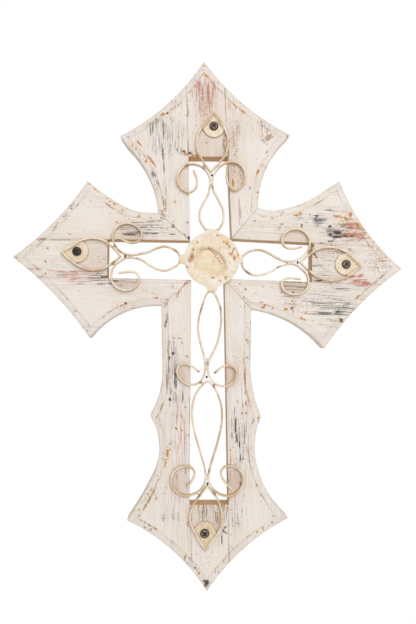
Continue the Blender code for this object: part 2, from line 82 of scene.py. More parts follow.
# Joint lines between the planks, and the corners of the open slot
SEAMS = [
    (-13.5, 17.2, -43.0, 43.1), (24.4, 19.0, 49.0, 47.7), (-12.6, -18.6, -40.2, -41.9),
    (17.6, -17.6, 42.2, -45.6), (-14.6, 94.7, -17.2, 178.0), (21.7, 94.9, 18.9, 165.0),
    (99.3, 15.1, 172.0, 11.5), (98.3, -20.8, 172.0, -23.8), (20.1, -223.6, 20.1, -290.0),
    (-15.1, -223.0, -13.4, -292.0), (-89.2, -16.7, -160.0, -15.7), (-88.8, 18.4, -165.0, 18.7),
]
SLOT = [
    (-13.5, 17.2), (-14.6, 94.7), (21.7, 94.9), (24.4, 19.0), (99.3, 15.1), (98.3, -20.8),
    (17.6, -17.6), (20.1, -223.6), (-15.1, -223.0), (-12.6, -18.6), (-89.2, -16.7), (-88.8, 18.4),
]
SLOT_SIDES = [(*start, *end) for start, end in zip(SLOT, SLOT[1:] + SLOT[:1])]


def place(x, z, y):
    """Point from drawing millimetres and a depth in metres."""
    return Vector((x * MM, y, (z - HANG_Z) * MM))


def clamp(t):
    return min(1.0, max(0.0, t))


def ease(t):
    """Smooth step from 0 to 1."""
    t = clamp(t)
    return t * t * (3.0 - 2.0 * t)


def uneven(x, z, scale, layer):
    """Smooth unevenness from -1 to 1 at one point."""
    return noise.noise(Vector((x * scale, z * scale, layer)))


def bridge(bm, rows, closed=False):
    """Faces between neighbouring rings of points; a ring of a single point closes the end."""
    size = max(len(row) for row in rows)
    pairs = list(zip(rows, rows[1:]))
    if closed:
        pairs.append((rows[-1], rows[0]))
    for low, high in pairs:
        for i in range(size):
            j = (i + 1) % size
            if len(low) == 1:
                bm.faces.new((low[0], high[j], high[i]))
            elif len(high) == 1:
                bm.faces.new((low[i], low[j], high[0]))
            else:
                bm.faces.new((low[i], low[j], high[j], high[i]))


def finish_piece(name, bm, mats, node, smooth_angle):
    """Named object with outward faces, sharp only where it turns hard, standing for its CAD node."""
    bmesh.ops.recalc_face_normals(bm, faces=bm.faces[:])
    for e in bm.edges:
        if len(e.link_faces) == 2:
            e.smooth = e.calc_face_angle(0.0) < math.radians(smooth_angle)
    for f in bm.faces:
        f.smooth = True
    me = bpy.data.meshes.new(name)
    bm.to_mesh(me)
    bm.free()
    for mat in mats:
        me.materials.append(mat)
    ob = bpy.data.objects.new(name, me)
    bpy.context.scene.collection.objects.link(ob)
    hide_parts(node)
    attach(ob, "root")
    return ob


def store(ob, kind, **layers):
    """Values on the points of a piece, which its material reads by name."""
    field = "vector" if kind == "FLOAT_VECTOR" else "value"
    for label, values in layers.items():
        at = ob.data.attributes.new(label, kind, "POINT")
        at.data.foreach_set(field, np.asarray(values, dtype=np.float32).ravel())


# Material helpers
class Tree:
    """Short ways to add and join shader nodes."""

    def __init__(self, name):
        self.mat = bpy.data.materials.new(name)
        self.mat.use_nodes = True
        self.nt = self.mat.node_tree
        self.bsdf = self.nt.nodes["Principled BSDF"]

    def put(self, socket, value):
        if isinstance(value, bpy.types.NodeSocket):
            self.nt.links.new(value, socket)
        elif isinstance(value, tuple) and len(value) == 3 and socket.type == "RGBA":
            socket.default_value = (*value, 1.0)
        else:
            socket.default_value = value

    def attr(self, name, out="Fac"):
        n = self.nt.nodes.new("ShaderNodeAttribute")
        n.attribute_name = name
        return n.outputs[out]

    def position(self):
        return self.nt.nodes.new("ShaderNodeTexCoord").outputs["Object"]

    def normal(self):
        return self.nt.nodes.new("ShaderNodeNewGeometry").outputs["Normal"]

    def xyz(self, vector):
        n = self.nt.nodes.new("ShaderNodeSeparateXYZ")
        self.put(n.inputs[0], vector)
        return n.outputs

    def math(self, op, a, b):
        n = self.nt.nodes.new("ShaderNodeMath")
        n.operation = op
        self.put(n.inputs[0], a)
        self.put(n.inputs[1], b)
        return n.outputs[0]

    def times(self, a, b):
        return self.math("MULTIPLY", a, b)

    def plus(self, a, b):
        return self.math("ADD", a, b)

    def minus(self, a, b):
        return self.math("SUBTRACT", a, b)

    def noise(self, vector, scale=1.0, detail=3.0, rough=0.55, distort=0.0,
              stretch=(1.0, 1.0, 1.0), shift=None):
        """Noise from 0 to 1, stretched along each axis and shifted so that no two layers agree."""
        if shift is not None:
            mapping = self.nt.nodes.new("ShaderNodeMapping")
            self.put(mapping.inputs["Vector"], vector)
            mapping.inputs["Scale"].default_value = stretch
            mapping.inputs["Location"].default_value = shift
            vector = mapping.outputs[0]
        n = self.nt.nodes.new("ShaderNodeTexNoise")
        self.put(n.inputs["Vector"], vector)
        n.inputs["Scale"].default_value = scale
        n.inputs["Detail"].default_value = detail
        n.inputs["Roughness"].default_value = rough
        n.inputs["Distortion"].default_value = distort
        return n.outputs["Fac"]

    def step(self, value, low, high, to_low=0.0, to_high=1.0):
        n = self.nt.nodes.new("ShaderNodeMapRange")
        n.interpolation_type = "SMOOTHSTEP"
        self.put(n.inputs["Value"], value)
        n.inputs["From Min"].default_value = low
        n.inputs["From Max"].default_value = high
        n.inputs["To Min"].default_value = to_low
        n.inputs["To Max"].default_value = to_high
        return n.outputs["Result"]

    def mix(self, fac, a, b):
        n = self.nt.nodes.new("ShaderNodeMix")
        n.data_type = "RGBA"
        n.clamp_factor = True
        self.put(n.inputs[0], fac)
        self.put(n.inputs[6], a)
        self.put(n.inputs[7], b)
        return n.outputs[2]

    def blend(self, value, low, high, first, second):
        """From the first colour to the second as a value passes from low to high."""
        return self.mix(self.step(value, low, high), srgb(*first), srgb(*second))

    def over(self, base, value, low, high, share, colour):
        """A share of a colour over the base, where a value passes from low to high."""
        return self.mix(self.step(value, low, high, 0.0, share), base, srgb(*colour))

    def finish(self, colour, rough, height, strength, distance):
        """The material, with this colour and roughness, and relief from a height."""
        n = self.nt.nodes.new("ShaderNodeBump")
        n.inputs["Strength"].default_value = strength
        n.inputs["Distance"].default_value = distance
        self.put(n.inputs["Height"], height)
        self.put(self.bsdf.inputs["Base Color"], colour)
        self.put(self.bsdf.inputs["Roughness"], rough)
        self.put(self.bsdf.inputs["Normal"], n.outputs[0])
        return self.mat


# Share of a colour that is left to the material, as the stage light is a little brighter than plain white
LEVEL = 0.85


def srgb(r, g, b):
    """Colour as it should look under the stage light, 0 to 255, as a linear one."""
    def one(v):
        v = v / 255.0
        return LEVEL * (v / 12.92 if v <= 0.04045 else ((v + 0.055) / 1.055) ** 2.4)
    return (one(r), one(g), one(b))


def wood_paint():
    """Whitewash over older coats: cloudy paint, fine brush and grain lines, worn-through layers, and a tan
    wash that is partly stain and partly painted shade.
    """
    t = Tree("wood_paint")
    grain = t.attr("grain", "Vector")
    grey, red, orange = t.xyz(t.attr("wear", "Vector"))
    brown, dark, wash = t.xyz(t.attr("dirt", "Vector"))
    busy = t.minus(1.0, t.times(t.attr("calm"), 0.75))
    pos = t.position()
    cloud = t.noise(pos, 38.0)
    base = t.blend(cloud, 0.35, 0.65, (240, 232, 225), (239, 231, 219))
    broad = t.noise(grain, rough=0.5, stretch=(12.0, 260.0, 1.0), shift=(3.1, 0.4, 0.0))
    base = t.mix(t.times(t.attr("tone"), t.step(broad, 0.38, 0.70)), base, srgb(232, 217, 207))
    fine = t.noise(grain, detail=4.0, rough=0.65, stretch=(45.0, 1500.0, 1.0), shift=(0.0, 0.0, 0.0))
    lines = t.times(t.step(fine, 0.40, 0.72), busy)
    base = t.mix(t.times(lines, 0.55), base, srgb(206, 190, 174))
    thin = t.noise(grain, detail=5.0, rough=0.7, stretch=(28.0, 900.0, 1.0), shift=(0.9, 2.2, 0.0))
    base = t.mix(t.times(t.step(thin, 0.58, 0.70, 0.0, 0.55), busy), base, srgb(178, 158, 142))
    puffs = t.noise(pos, 90.0, 4.0, shift=(5.0, 1.0, 2.0))
    base = t.over(base, puffs, 0.5, 0.75, 0.35, (243, 236, 227))
    specks = t.noise(pos, 330.0, 2.0, 0.5, shift=(2.0, 7.0, 1.0))
    base = t.over(base, specks, 0.66, 0.73, 0.6, (186, 150, 116))

    # Coats that show through: weight, colour, shift of the noise, raggedness, strength and reach
    coats = [
        (red, t.blend(red, 0.45, 0.95, (190, 122, 112), (186, 84, 66)), (0.3, 5.2, 0.0), 0.16, 0.82, 0.22),
        (grey, srgb(102, 100, 104), (1.3, 2.2, 0.0), 0.16, 0.88, 0.175),
        (orange, srgb(196, 132, 34), (2.3, 1.2, 0.0), 0.6, 0.95, 0.27),
        (brown, srgb(158, 120, 90), (3.3, 4.2, 0.0), 0.5, 0.75, 0.26),
        (dark, srgb(56, 46, 42), (4.3, 3.2, 0.0), 0.25, 0.92, 0.30),
    ]
    for weight, colour, shift, ragged, strength, reach in coats:
        streak = t.noise(grain, detail=5.0, rough=0.66, stretch=(42.0, 1050.0, 1.0), shift=shift)
        patch = t.noise(pos, 620.0, 2.0, shift=shift)
        broken = t.plus(t.times(streak, 1.0 - ragged), t.times(patch, ragged))
        edge = t.plus(broken, t.times(weight, reach))
        mask = t.times(t.step(edge, 0.58, 0.67), t.step(weight, 0.04, 0.30, 0.0, strength))
        base = t.mix(mask, base, colour)
    # Tan wash: stain along the bevel, joints and slot edges, and painted shade inside the curls and arches
    # next to the straps
    rag = t.noise(pos, 500.0, 2.0)
    base = t.mix(t.times(wash, t.step(rag, 0.25, 0.65, 0.6, 1.0)), base, srgb(184, 138, 80))

    rough = t.plus(t.plus(t.times(grey, 0.2), t.times(lines, 0.12)), 0.62)
    height = t.plus(t.times(fine, 0.6), t.times(puffs, 0.4))
    return t.finish(base, rough, t.minus(height, t.times(grey, 0.25)), 0.35, 0.0005)


def wood_side(name, light, dark, wash, amount):
    """Edge of the boards or wall of the slot: washed wood, rubbed, scuffed and speckled."""
    t = Tree(name)
    pos = t.position()
    stripe = t.noise(pos, detail=4.0, rough=0.6, stretch=(160.0, 900.0, 160.0), shift=(0.0, 0.0, 0.0))
    base = t.blend(stripe, 0.3, 0.7, light, dark)
    patch = t.noise(pos, 120.0, 4.0, 0.6)
    base = t.over(base, patch, 0.45, 0.62, amount, wash)
    rub = t.noise(pos, 230.0, 5.0, 0.7, stretch=(1.0, 0.6, 1.0), shift=(3.0, 1.0, 6.0))
    base = t.over(base, rub, 0.56, 0.66, 0.65, (186, 152, 118))
    scuff = t.noise(pos, 120.0, 5.0, 0.75, stretch=(1.0, 3.0, 1.0), shift=(7.0, 2.0, 1.0))
    base = t.over(base, scuff, 0.60, 0.68, 0.6, (140, 132, 128))
    speck = t.noise(pos, 520.0, 2.0, shift=(1.0, 8.0, 3.0))
    base = t.over(base, speck, 0.66, 0.72, 0.8, (150, 104, 66))
    return t.finish(base, 0.8, stripe, 0.4, 0.0005)


def wood_back():
    """Back of the boards: bare sawn pine with saw lines and a little overspray in patches."""
    t = Tree("wood_back")
    grain = t.attr("grain", "Vector")
    lines = t.noise(grain, detail=5.0, rough=0.6, distort=0.4,
                    stretch=(14.0, 420.0, 1.0), shift=(0.0, 0.0, 0.0))
    base = t.blend(lines, 0.3, 0.7, (196, 160, 118), (150, 112, 76))
    patch = t.noise(t.position(), 30.0, 4.0)
    base = t.over(base, patch, 0.52, 0.66, 0.55, (214, 200, 180))
    return t.finish(base, 0.85, lines, 0.5, 0.0006)


def iron_paint():
    """Cream paint on strap iron, golden brown on the flat sides as rubbed paint and painted shade, and rusty
    at the joints.
    """
    t = Tree("iron_paint")
    pos = t.position()
    rust = t.attr("rust")
    patch = t.noise(pos, 160.0, 4.0, 0.6)
    fine = t.noise(pos, 900.0, 3.0, 0.6)
    cream = t.blend(patch, 0.35, 0.68, (243, 231, 210), (232, 212, 182))
    broad = t.noise(pos, 55.0, 3.0, 0.6, shift=(4.0, 2.0, 9.0))
    cream = t.over(cream, broad, 0.45, 0.66, 0.8, (212, 174, 126))
    worn_and_shaded_sides = t.blend(patch, 0.35, 0.65, (238, 206, 160), (208, 164, 112))
    kept = t.noise(pos, 240.0, 4.0, 0.6, shift=(6.0, 1.0, 3.0))
    worn_and_shaded_sides = t.over(worn_and_shaded_sides, kept, 0.48, 0.58, 0.75, (242, 226, 198))
    # Faces turned away from the front get the tan: partly rubbed paint, partly painted shade on the strap
    # sides
    facing = t.times(t.xyz(t.normal())[1], -1.0)
    base = t.mix(t.step(t.plus(facing, t.times(fine, 0.25)), 0.40, 0.95), worn_and_shaded_sides, cream)
    spot = t.plus(t.times(rust, 0.6), t.times(patch, 0.5))
    base = t.over(base, spot, 0.45, 0.80, 0.85, (158, 112, 66))
    # Only the pits go above 1.3: near-black painted shade in the gaps between welded straps, with rust
    base = t.over(base, rust, 1.3, 1.8, 1.0, (66, 42, 26))
    chips = t.noise(pos, 420.0, 2.0, shift=(1.0, 3.0, 5.0))
    base = t.over(base, chips, 0.66, 0.74, 0.6, (176, 128, 76))
    return t.finish(base, t.step(patch, 0.3, 0.7, 0.42, 0.62), fine, 0.3, 0.0003)


def ivory_paint():
    """Yellowed ivory paint on the disc and tabs, with rust-brown blotches where it has come off, and painted
    shade on the dish wall and the tab edges.
    """
    t = Tree("ivory_paint")
    pos = t.position()
    rust = t.attr("rust")
    cloud = t.noise(pos, 70.0, 4.0)
    fine = t.noise(pos, 650.0, 3.0, 0.6)
    depth = t.xyz(pos)[1]
    hollow = t.minus(t.step(depth, Y_DISC_FRONT + 0.0002, Y_DISC_FRONT + 0.0020),
                     t.step(depth, Y_DISC_FRONT + 0.0030, Y_DISC_FRONT + 0.0040, 0.0, 0.6))
    rim_coat = t.blend(cloud, 0.35, 0.68, (238, 225, 206), (231, 210, 180))
    dish_coat = t.blend(cloud, 0.35, 0.68, (236, 219, 190), (229, 205, 167))
    base = t.mix(hollow, rim_coat, dish_coat)
    base = t.over(base, fine, 0.53, 0.66, 0.50, (220, 190, 150))
    mottle = t.noise(pos, 280.0, 4.0, 0.6)
    base = t.over(base, mottle, 0.48, 0.64, 0.60, (218, 188, 146))
    # These values carry rust blotches and worn marks, and also painted shade on the dish wall and along the
    # tab edges
    spot = t.plus(rust, t.times(t.minus(fine, 0.5), 0.9))
    base = t.over(base, spot, 0.22, 0.50, 0.70, (212, 172, 122))
    base = t.over(base, spot, 0.60, 0.90, 0.80, (178, 122, 76))
    base = t.over(base, spot, 0.95, 1.15, 0.80, (140, 90, 54))
    chip = t.times(t.step(fine, 0.45, 0.60), t.attr("chip"))
    base = t.mix(chip, base, srgb(236, 234, 236))
    height = t.minus(t.times(cloud, 0.7), t.times(rust, 0.25))
    return t.finish(base, t.step(spot, 0.2, 0.8, 0.40, 0.70), height, 0.5, 0.0006)


def dark_steel():
    """Tarnished screw heads, darker towards the rims, with painted shade in the cross recess."""
    t = Tree("dark_steel_worn")
    patch = t.noise(t.position(), 500.0)
    base = t.blend(patch, 0.35, 0.65, (106, 88, 74), (146, 126, 108))
    # Dark where the deep values are: painted shade in the cross recess, darker towards the rim, and stain
    base = t.mix(t.attr("deep"), base, srgb(44, 32, 25))
    t.bsdf.inputs["Metallic"].default_value = 0.35
    return t.finish(base, t.step(patch, 0.3, 0.7, 0.38, 0.6), patch, 0.3, 0.0002)


# Planks
def line_distance(x, z, segment):
    x0, z0, x1, z1 = segment
    dx, dz = x1 - x0, z1 - z0
    s = np.clip(((x - x0) * dx + (z - z0) * dz) / (dx * dx + dz * dz), 0.0, 1.0)
    return np.hypot(x - x0 - s * dx, z - z0 - s * dz)


def value_noise(x, z, scale_x, scale_z, seed):
    """Smooth noise from 0 to 1 at many points."""
    u = x / scale_x + seed * 17.13
    v = z / scale_z + seed * 9.71
    iu = np.floor(u)
    iv = np.floor(v)
    fu = u - iu
    fv = v - iv
    fu = fu * fu * (3 - 2 * fu)
    fv = fv * fv * (3 - 2 * fv)

    def rnd(a, b):
        h = np.sin(a * 127.1 + b * 311.7 + seed * 74.7) * 43758.5453
        return h - np.floor(h)

    low = rnd(iu, iv) * (1 - fu) + rnd(iu + 1, iv) * fu
    high = rnd(iu, iv + 1) * (1 - fu) + rnd(iu + 1, iv + 1) * fu
    return low * (1 - fv) + high * fv


# Worn places by the colour of the coat below, as noted from the photo. Each mark is x, z,
# half length, half width and strength, and its angle where it doesn't follow the grain of the plank.
# Brown is dirt and bare wood, dark is a crack, a knot or a deep scrape.
STROKES = {
    "grey": [
        (-48, 121, 7, 2.7, 0.85, 72), (-37, 119, 9, 2.4, 0.9), (-43, 128, 6, 2.7, 0.6, 60),
        (-38, 98, 8, 1.8, 0.8), (-38, 85, 6, 1.4, 0.6), (-29, 121, 13, 1.8, 0.55), (-46, 105, 11, 2.7, 0.5),
        (-46, 78, 3, 1.8, 0.95, 120), (-43, 70, 5, 1.4, 0.75, 115), (-36, 67, 11, 2.7, 0.45),
        (53, 124, 3, 1.1, 0.7, 152), (-57, 30, 6, 0.9, 0.95), (-43, 31, 6, 0.6, 0.5),
        (-52, 28, 8, 1.4, 0.45), (-48, 22, 7, 0.9, 0.7), (-71, 29, 9, 2.7, 0.5), (-16, 34, 3, 0.7, 0.6, 0),
        (-121.9, 47.9, 2.3, 1.5, 0.7, 130), (-126, 42, 3, 1.4, 0.5, 50), (-132, -14, 7, 0.9, 0.5),
        (-98, -14, 9, 1.8, 0.6), (-80, -24, 6, 1.8, 0.6), (-92, -51, 3, 1.5, 0.6, 40),
        (-44, -32, 3, 0.9, 0.5, 15), (70, 31, 4, 1.1, 0.7, 50), (84, 38, 7, 0.7, 0.6), (85, 33, 7, 0.7, 0.5),
        (94, 34, 3, 0.9, 0.6), (105, 35, 6, 4.6, 0.75), (104, 31, 6, 1.4, 0.8), (115, 46, 6, 1.2, 0.7, 175),
        (127, 45, 5, 0.9, 0.7, 170), (123, 23, 8, 4.6, 0.65), (103, 2, 6, 0.9, 0.8, 120),
        (104, -6, 7, 0.7, 0.6), (111, -15, 8, 1.4, 0.75), (108, -13, 6, 1.1, 0.5), (116, -19, 7, 0.9, 0.5),
        (130, -43, 6, 4.6, 0.85, 42), (124, -49, 6, 3.7, 0.9), (110, -50, 8, 1.4, 0.9),
        (98, -50, 6, 0.9, 0.7), (115, -38, 13, 1.5, 0.65), (129, -38, 7, 1.8, 0.65, 175),
        (111, -43, 11, 0.8, 0.6), (95, -35, 6, 1.8, 0.55, 10), (111, -61, 8, 1.1, 0.45, 170),
        (99, -57, 3, 1.1, 0.5), (83, -24, 9, 1.8, 0.6), (78, -28, 8, 1.3, 0.55), (-35, -53, 5, 1.1, 0.85),
        (-37, -60, 3, 1.8, 0.6, 50), (-30, -90, 8, 0.9, 0.6), (-28, -99, 6, 1.8, 0.8),
        (-28, -113, 6, 2.4, 1, 95), (-32, -106, 11, 0.9, 0.65), (-21, -113, 8, 2.3, 0.6, 95),
        (-21, -125, 6, 1.1, 0.9), (-28, -126, 6, 1.8, 0.8), (-33, -132, 3, 0.8, 0.8),
        (-15, -129, 5, 1.1, 0.5), (-21, -118, 5, 0.9, 0.5), (-44, -150, 4, 1.1, 0.5, 135),
        (-42, -231, 7, 0.9, 0.5), (-38, -235, 8, 1.5, 0.65), (-31, -231, 7, 1.6, 0.7),
        (-26, -233, 6, 0.9, 0.5), (28, -211, 4, 1.4, 0.6), (21, -215, 6, 1.1, 0.55),
        (22, -151, 13, 0.8, 0.45), (23, -162, 6, 1.3, 0.7), (24, -152, 8, 0.8, 0.5), (27, -140, 6, 0.9, 0.5),
        (30, -156, 7, 0.8, 0.6), (35, -159, 9, 0.8, 0.6), (37, -172, 5, 1.2, 0.75),
        (34, -182, 3, 1.8, 0.6, 0), (38, -180, 4, 0.9, 0.5), (8, -233, 7, 1.2, 0.6), (6, -227, 6, 0.8, 0.5),
        (16, -236, 7, 0.8, 0.6),
    ],
    "red": [
        (-31, 130, 6, 1.1, 0.6), (-5, 160, 7, 3.2, 0.85), (4, 154, 13, 1.5, 0.75), (9, 156, 11, 2.7, 0.7),
        (0, 151, 18, 2.7, 0.6), (4, 142, 13, 5.5, 0.45), (-11, 152, 6, 1.4, 0.6), (-8, 150, 13, 1.8, 0.5),
        (28, 129, 11, 0.9, 0.65), (27, 114, 13, 1.3, 0.5), (23, 143, 7, 1.1, 0.5), (32, 49, 13, 0.9, 0.7),
        (32, 34, 5, 0.9, 0.6), (25, 60, 5, 0.7, 0.5), (17, 98, 3, 1.1, 0.7), (-128, 40, 4, 1.8, 0.5, 50),
        (-149, 17, 3, 1.8, 0.5), (-123.2, 23.3, 2, 0.9, 0.75), (-152, -8, 4, 0.9, 0.7, 155),
        (-141, -10, 7, 0.8, 0.6, 175), (-130, -11, 7, 0.8, 0.75), (-120, -11, 6, 0.9, 0.9, 175),
        (-109, -12, 9, 0.8, 0.5), (-127, -16, 9, 0.8, 0.75), (-116, -17, 7, 0.9, 0.8),
        (-121, -20, 6, 0.7, 0.5, 172), (-114, -22, 5, 0.9, 0.8), (-30, -25, 3, 1.4, 0.6, 80),
        (-18, -22, 6, 1.1, 0.8, 50), (-24, -30, 5, 1.3, 0.8, 55), (-26, -34, 3, 1.1, 0.7, 0),
        (135, 33, 8, 1.2, 0.65, 5), (135, 29, 4, 2.2, 1), (142, 29, 4, 1.6, 0.7), (139, 23, 3, 1.6, 1, 40),
        (126.2, 20.8, 1.8, 1.8, 0.7), (144, 19, 6, 1.5, 0.8, 5), (136, 18, 6, 1.1, 0.55),
        (131, 16, 5, 0.9, 0.6), (132, 11, 4, 0.9, 0.5, 165), (136, -16, 5, 1.5, 0.9, 8),
        (144, -15, 4, 1.8, 0.9, 30), (141, -20, 6, 1.8, 1), (149, -22, 5, 2.6, 1, 170),
        (144, -25, 7, 1.5, 0.75), (134, -24, 6, 1.4, 0.5), (134, -14, 6, 0.9, 0.5),
        (-31, -150, 6, 0.9, 0.55), (-31, -162, 5, 0.7, 0.45), (-27, -197, 6, 0.9, 0.7),
        (-19, -192, 5, 0.9, 0.6), (-19, -204, 3, 0.9, 0.5), (-36, -205, 7, 0.9, 0.55),
        (31, -200, 6, 0.8, 0.7), (36, -110, 13, 0.8, 0.85), (36, -122, 4, 0.9, 0.85),
        (37, -132, 3, 0.9, 0.75), (34, -133, 3, 0.8, 0.6), (-7.3, -223.4, 2.4, 0.8, 0.6),
        (19, -227, 4, 0.9, 0.7),
    ],
    "orange": [
        (-38, 134, 3, 1.3, 1, 15), (-51, 124, 4, 1.1, 0.5, 40), (-60, 107, 4, 0.9, 1, 132),
        (-49, 91, 7, 1, 1, 124), (-5, 163, 3, 1.3, 0.5, 45), (2, 170, 3, 0.9, 0.9, 140),
        (10, 160, 3, 0.9, 0.5, 125), (-17, 96.9, 2.3, 0.9, 0.8, 170), (-9, 96, 4, 1.5, 0.85, 0),
        (28, 143, 4, 0.8, 0.75, 134), (19, 150, 3, 0.8, 0.6, 132), (36, 137, 3, 1, 0.95, 145),
        (49, 81, 3, 1, 1, 75), (26, 71, 4, 0.9, 1), (-60.7, 39.6, 2.2, 1.1, 1, 10),
        (-82.9, 51, 2, 1, 1, 150), (-45, -35, 3, 0.9, 0.9), (-72.4, -40.1, 2.2, 1, 0.9, 25),
        (85, 41, 4, 0.8, 1, 12), (88.6, 42.7, 2.3, 0.7, 0.8), (135.3, 41.7, 1.8, 2.4, 1),
        (132, 45, 5, 0.7, 0.6, 170), (134, 37, 6, 0.8, 0.75), (122, 40, 6, 0.8, 0.8), (130, 39, 5, 0.8, 0.8),
        (129, 36, 5, 0.9, 0.6), (142, 32, 3, 2, 0.95, 135), (146, 27, 3, 0.9, 0.7, 170),
        (134, 24, 6, 1, 0.65), (148, 25, 3, 0.8, 0.85, 170), (151.5, 20.4, 2.3, 0.9, 0.7, 160),
        (146, 13, 4, 0.8, 0.5, 170), (137, -20, 3, 0.8, 0.6), (167.3, 2.2, 2.2, 0.9, 0.7, 135),
        (141, -35, 4, 1, 1, 38), (90, -55, 4, 0.8, 0.95, 155), (93, -50, 5, 1.1, 0.5),
        (73.9, -45.7, 2.1, 1.4, 1, 160), (51.2, -39.5, 2.1, 0.8, 0.9, 172), (-35, -176, 6, 0.9, 0.95),
        (-37, -185, 6, 0.8, 0.85, 78), (-45, -216, 3, 0.9, 0.6), (-52, -218, 14, 0.8, 0.6, 61),
        (-14, -234, 5, 0.8, 0.65), (-46, -244, 3, 0.9, 0.8, 150), (30, -165, 5, 0.8, 0.5),
        (22, -176, 7, 0.8, 0.6),
    ],
    "brown": [
        (-36, 50, 6, 0.8, 0.75), (-26, 141, 8, 0.8, 0.7, 35), (-48, 127, 7, 1.4, 0.6, 38),
        (-61, 99, 5, 0.9, 0.65, 130), (-12, 156, 3, 0.7, 0.7, 45), (8, 163, 4, 0.9, 0.7, 128),
        (15, 156, 5, 0.7, 0.5, 138), (-15, 135, 5, 0.9, 0.8), (-16, 145, 7, 0.6, 0.5),
        (-15, 105, 8, 0.7, 0.7), (-12, 94, 3, 1.1, 0.7, 0), (28, 100, 10, 1.3, 0.5),
        (57, 121, 4, 0.7, 0.5, 145), (59, 113, 5, 2.4, 0.85, 35), (55, 110, 3, 1.8, 0.6, 130),
        (58, 100, 3, 1.1, 0.5, 50), (27, 83, 7, 0.8, 0.65), (33, 80, 9, 0.8, 0.6),
        (18, 110, 5, 1.2, 0.8, 80), (19, 102, 6, 1.4, 0.85, 100), (22, 98, 5, 0.9, 0.85, 80),
        (-18, 22, 5, 1.1, 0.6, 135), (-26, 28, 8, 0.7, 0.5, 136), (-34, 28, 3, 0.7, 0.5, 120),
        (-38, 41, 3, 1.1, 0.9, 145), (-87, 49, 6, 0.8, 0.8, 142), (-75, 41, 9, 0.6, 0.45, 150),
        (-120, 52, 6, 0.8, 0.5, 52), (-136, 30, 7, 0.9, 0.6, 60), (-147, 19, 4, 1.2, 0.85),
        (-132, 18, 13, 0.7, 0.5), (-149, -15, 3, 0.8, 0.5, 30), (-95, -10, 6, 2.7, 0.45),
        (-79, 18, 4, 0.9, 0.8), (-96, 18, 9, 0.7, 0.5), (-107, -58, 5, 0.7, 0.6, 130),
        (-36, -41, 4, 0.8, 0.9, 52), (53, 40, 6, 0.7, 0.45, 168), (107, 15, 3, 0.9, 0.8),
        (112, 13, 15, 0.9, 0.45), (136, 8, 7, 0.7, 0.75, 158), (119, 7, 10, 2.1, 0.5),
        (133, 4, 6, 0.9, 0.6, 145), (116, -22, 12, 0.8, 0.55), (164, -16, 5, 0.8, 0.85, 40),
        (157, -22, 4, 0.8, 0.7, 38), (149, -28, 5, 0.7, 0.5, 40), (126, -57, 3, 2.2, 0.75),
        (119, -57, 4, 0.9, 0.6, 175), (52.6, -44.5, 2.4, 0.9, 0.9), (78, -21, 8, 0.8, 0.65),
        (33, -31, 14, 0.7, 0.55, 130), (-25, -72, 4, 0.8, 0.9, 0), (-33, -77, 5, 0.7, 0.65),
        (-34, -104, 8, 0.7, 0.45), (-32, -120, 4, 1.4, 0.55), (-39.9, -149.8, 1.6, 1.5, 0.5),
        (-52, -218, 14, 0.8, 0.8, 61), (-17, -240, 4, 0.8, 0.55), (-58, -237, 3, 0.8, 0.5, 150),
        (-16, -277, 4, 0.7, 0.55, 132), (0, -295, 4, 2.7, 0.5), (15, -274, 4, 0.7, 0.6, 52),
        (22, -196, 6, 0.9, 0.6), (27, -193, 3, 0.9, 0.5, 0), (22, -186, 4, 0.9, 0.5),
        (-2, -224, 3, 0.8, 0.7), (16, -226, 4, 0.9, 0.8), (0.8, -262.7, 2.4, 0.7, 0.75, 45),
    ],
    "dark": [
        (-18.8, 99.5, 2.3, 1.1, 0.85, 155), (-13.8, 98.3, 1.6, 1.5, 0.95), (-48, 35, 11, 0.8, 0.68),
        (-29, 30, 3, 0.8, 0.65), (-50, 24, 9, 0.9, 0.54), (-69, 23, 8, 0.9, 0.72), (-30, 23, 4, 0.7, 0.5),
        (-14.6, 19.3, 1.8, 1.8, 0.7), (-101, -17, 8, 0.8, 0.58), (-91, -16, 5, 1.6, 0.68),
        (-88, -12, 3, 1.6, 0.5, 90), (-95, -22, 7, 0.8, 0.61), (-86, -22, 4, 0.9, 0.65),
        (-82, -20, 4, 0.8, 0.58), (89.5, 31, 2, 0.8, 0.8, 90), (103.5, 40.3, 1.8, 1.2, 0.95),
        (103, 37, 4, 0.8, 0.5, 110), (116, 31, 1.8, 1.1, 0.8, 30), (128, 31, 3, 1.2, 0.58, 20),
        (123, 25, 4, 1.8, 0.68), (116, 23, 3, 1.8, 0.58), (122, 21, 6, 1.4, 0.65),
        (119, 18, 3, 1.1, 0.65, 30), (130, 22, 3, 1.2, 0.58), (136, 22, 3, 0.8, 0.5),
        (100, 12, 3, 0.9, 0.72, 90), (101.3, 4.5, 1.8, 0.9, 0.8, 120), (104, -20, 6, 1.3, 0.61),
        (122, -48, 3, 1.1, 0.58), (125.6, -56.1, 1.6, 1.6, 1), (88, -21, 5, 0.8, 0.58),
        (-29.7, -85.9, 1.4, 1.4, 0.85), (-27, -106, 4, 1.3, 0.5, 100), (-32.8, -127.7, 1.8, 1.3, 0.9),
        (0.2, -293.2, 2.3, 1.7, 1), (31, -206, 3, 0.8, 0.61), (20, -203, 4, 1.1, 0.58),
        (19, -219, 3, 0.8, 0.54), (27, -152, 9, 0.8, 0.54), (28, -163, 5, 1, 0.61), (30, -169, 3, 0.8, 0.54),
        (31, -182, 4, 0.8, 0.54), (38.8, -76.3, 1.5, 0.9, 0.6), (14, -254, 6, 0.7, 0.54),
        (10, -237, 6, 1, 0.54), (11, -223, 3, 0.9, 0.54, 80), (16.8, -244.1, 1.6, 0.8, 0.85, 30),
        (15.2, -247.1, 1.7, 0.9, 1, 120), (19, -233, 11, 0.8, 0.54), (14, -225, 3, 1.1, 0.61, 80),
    ],
}

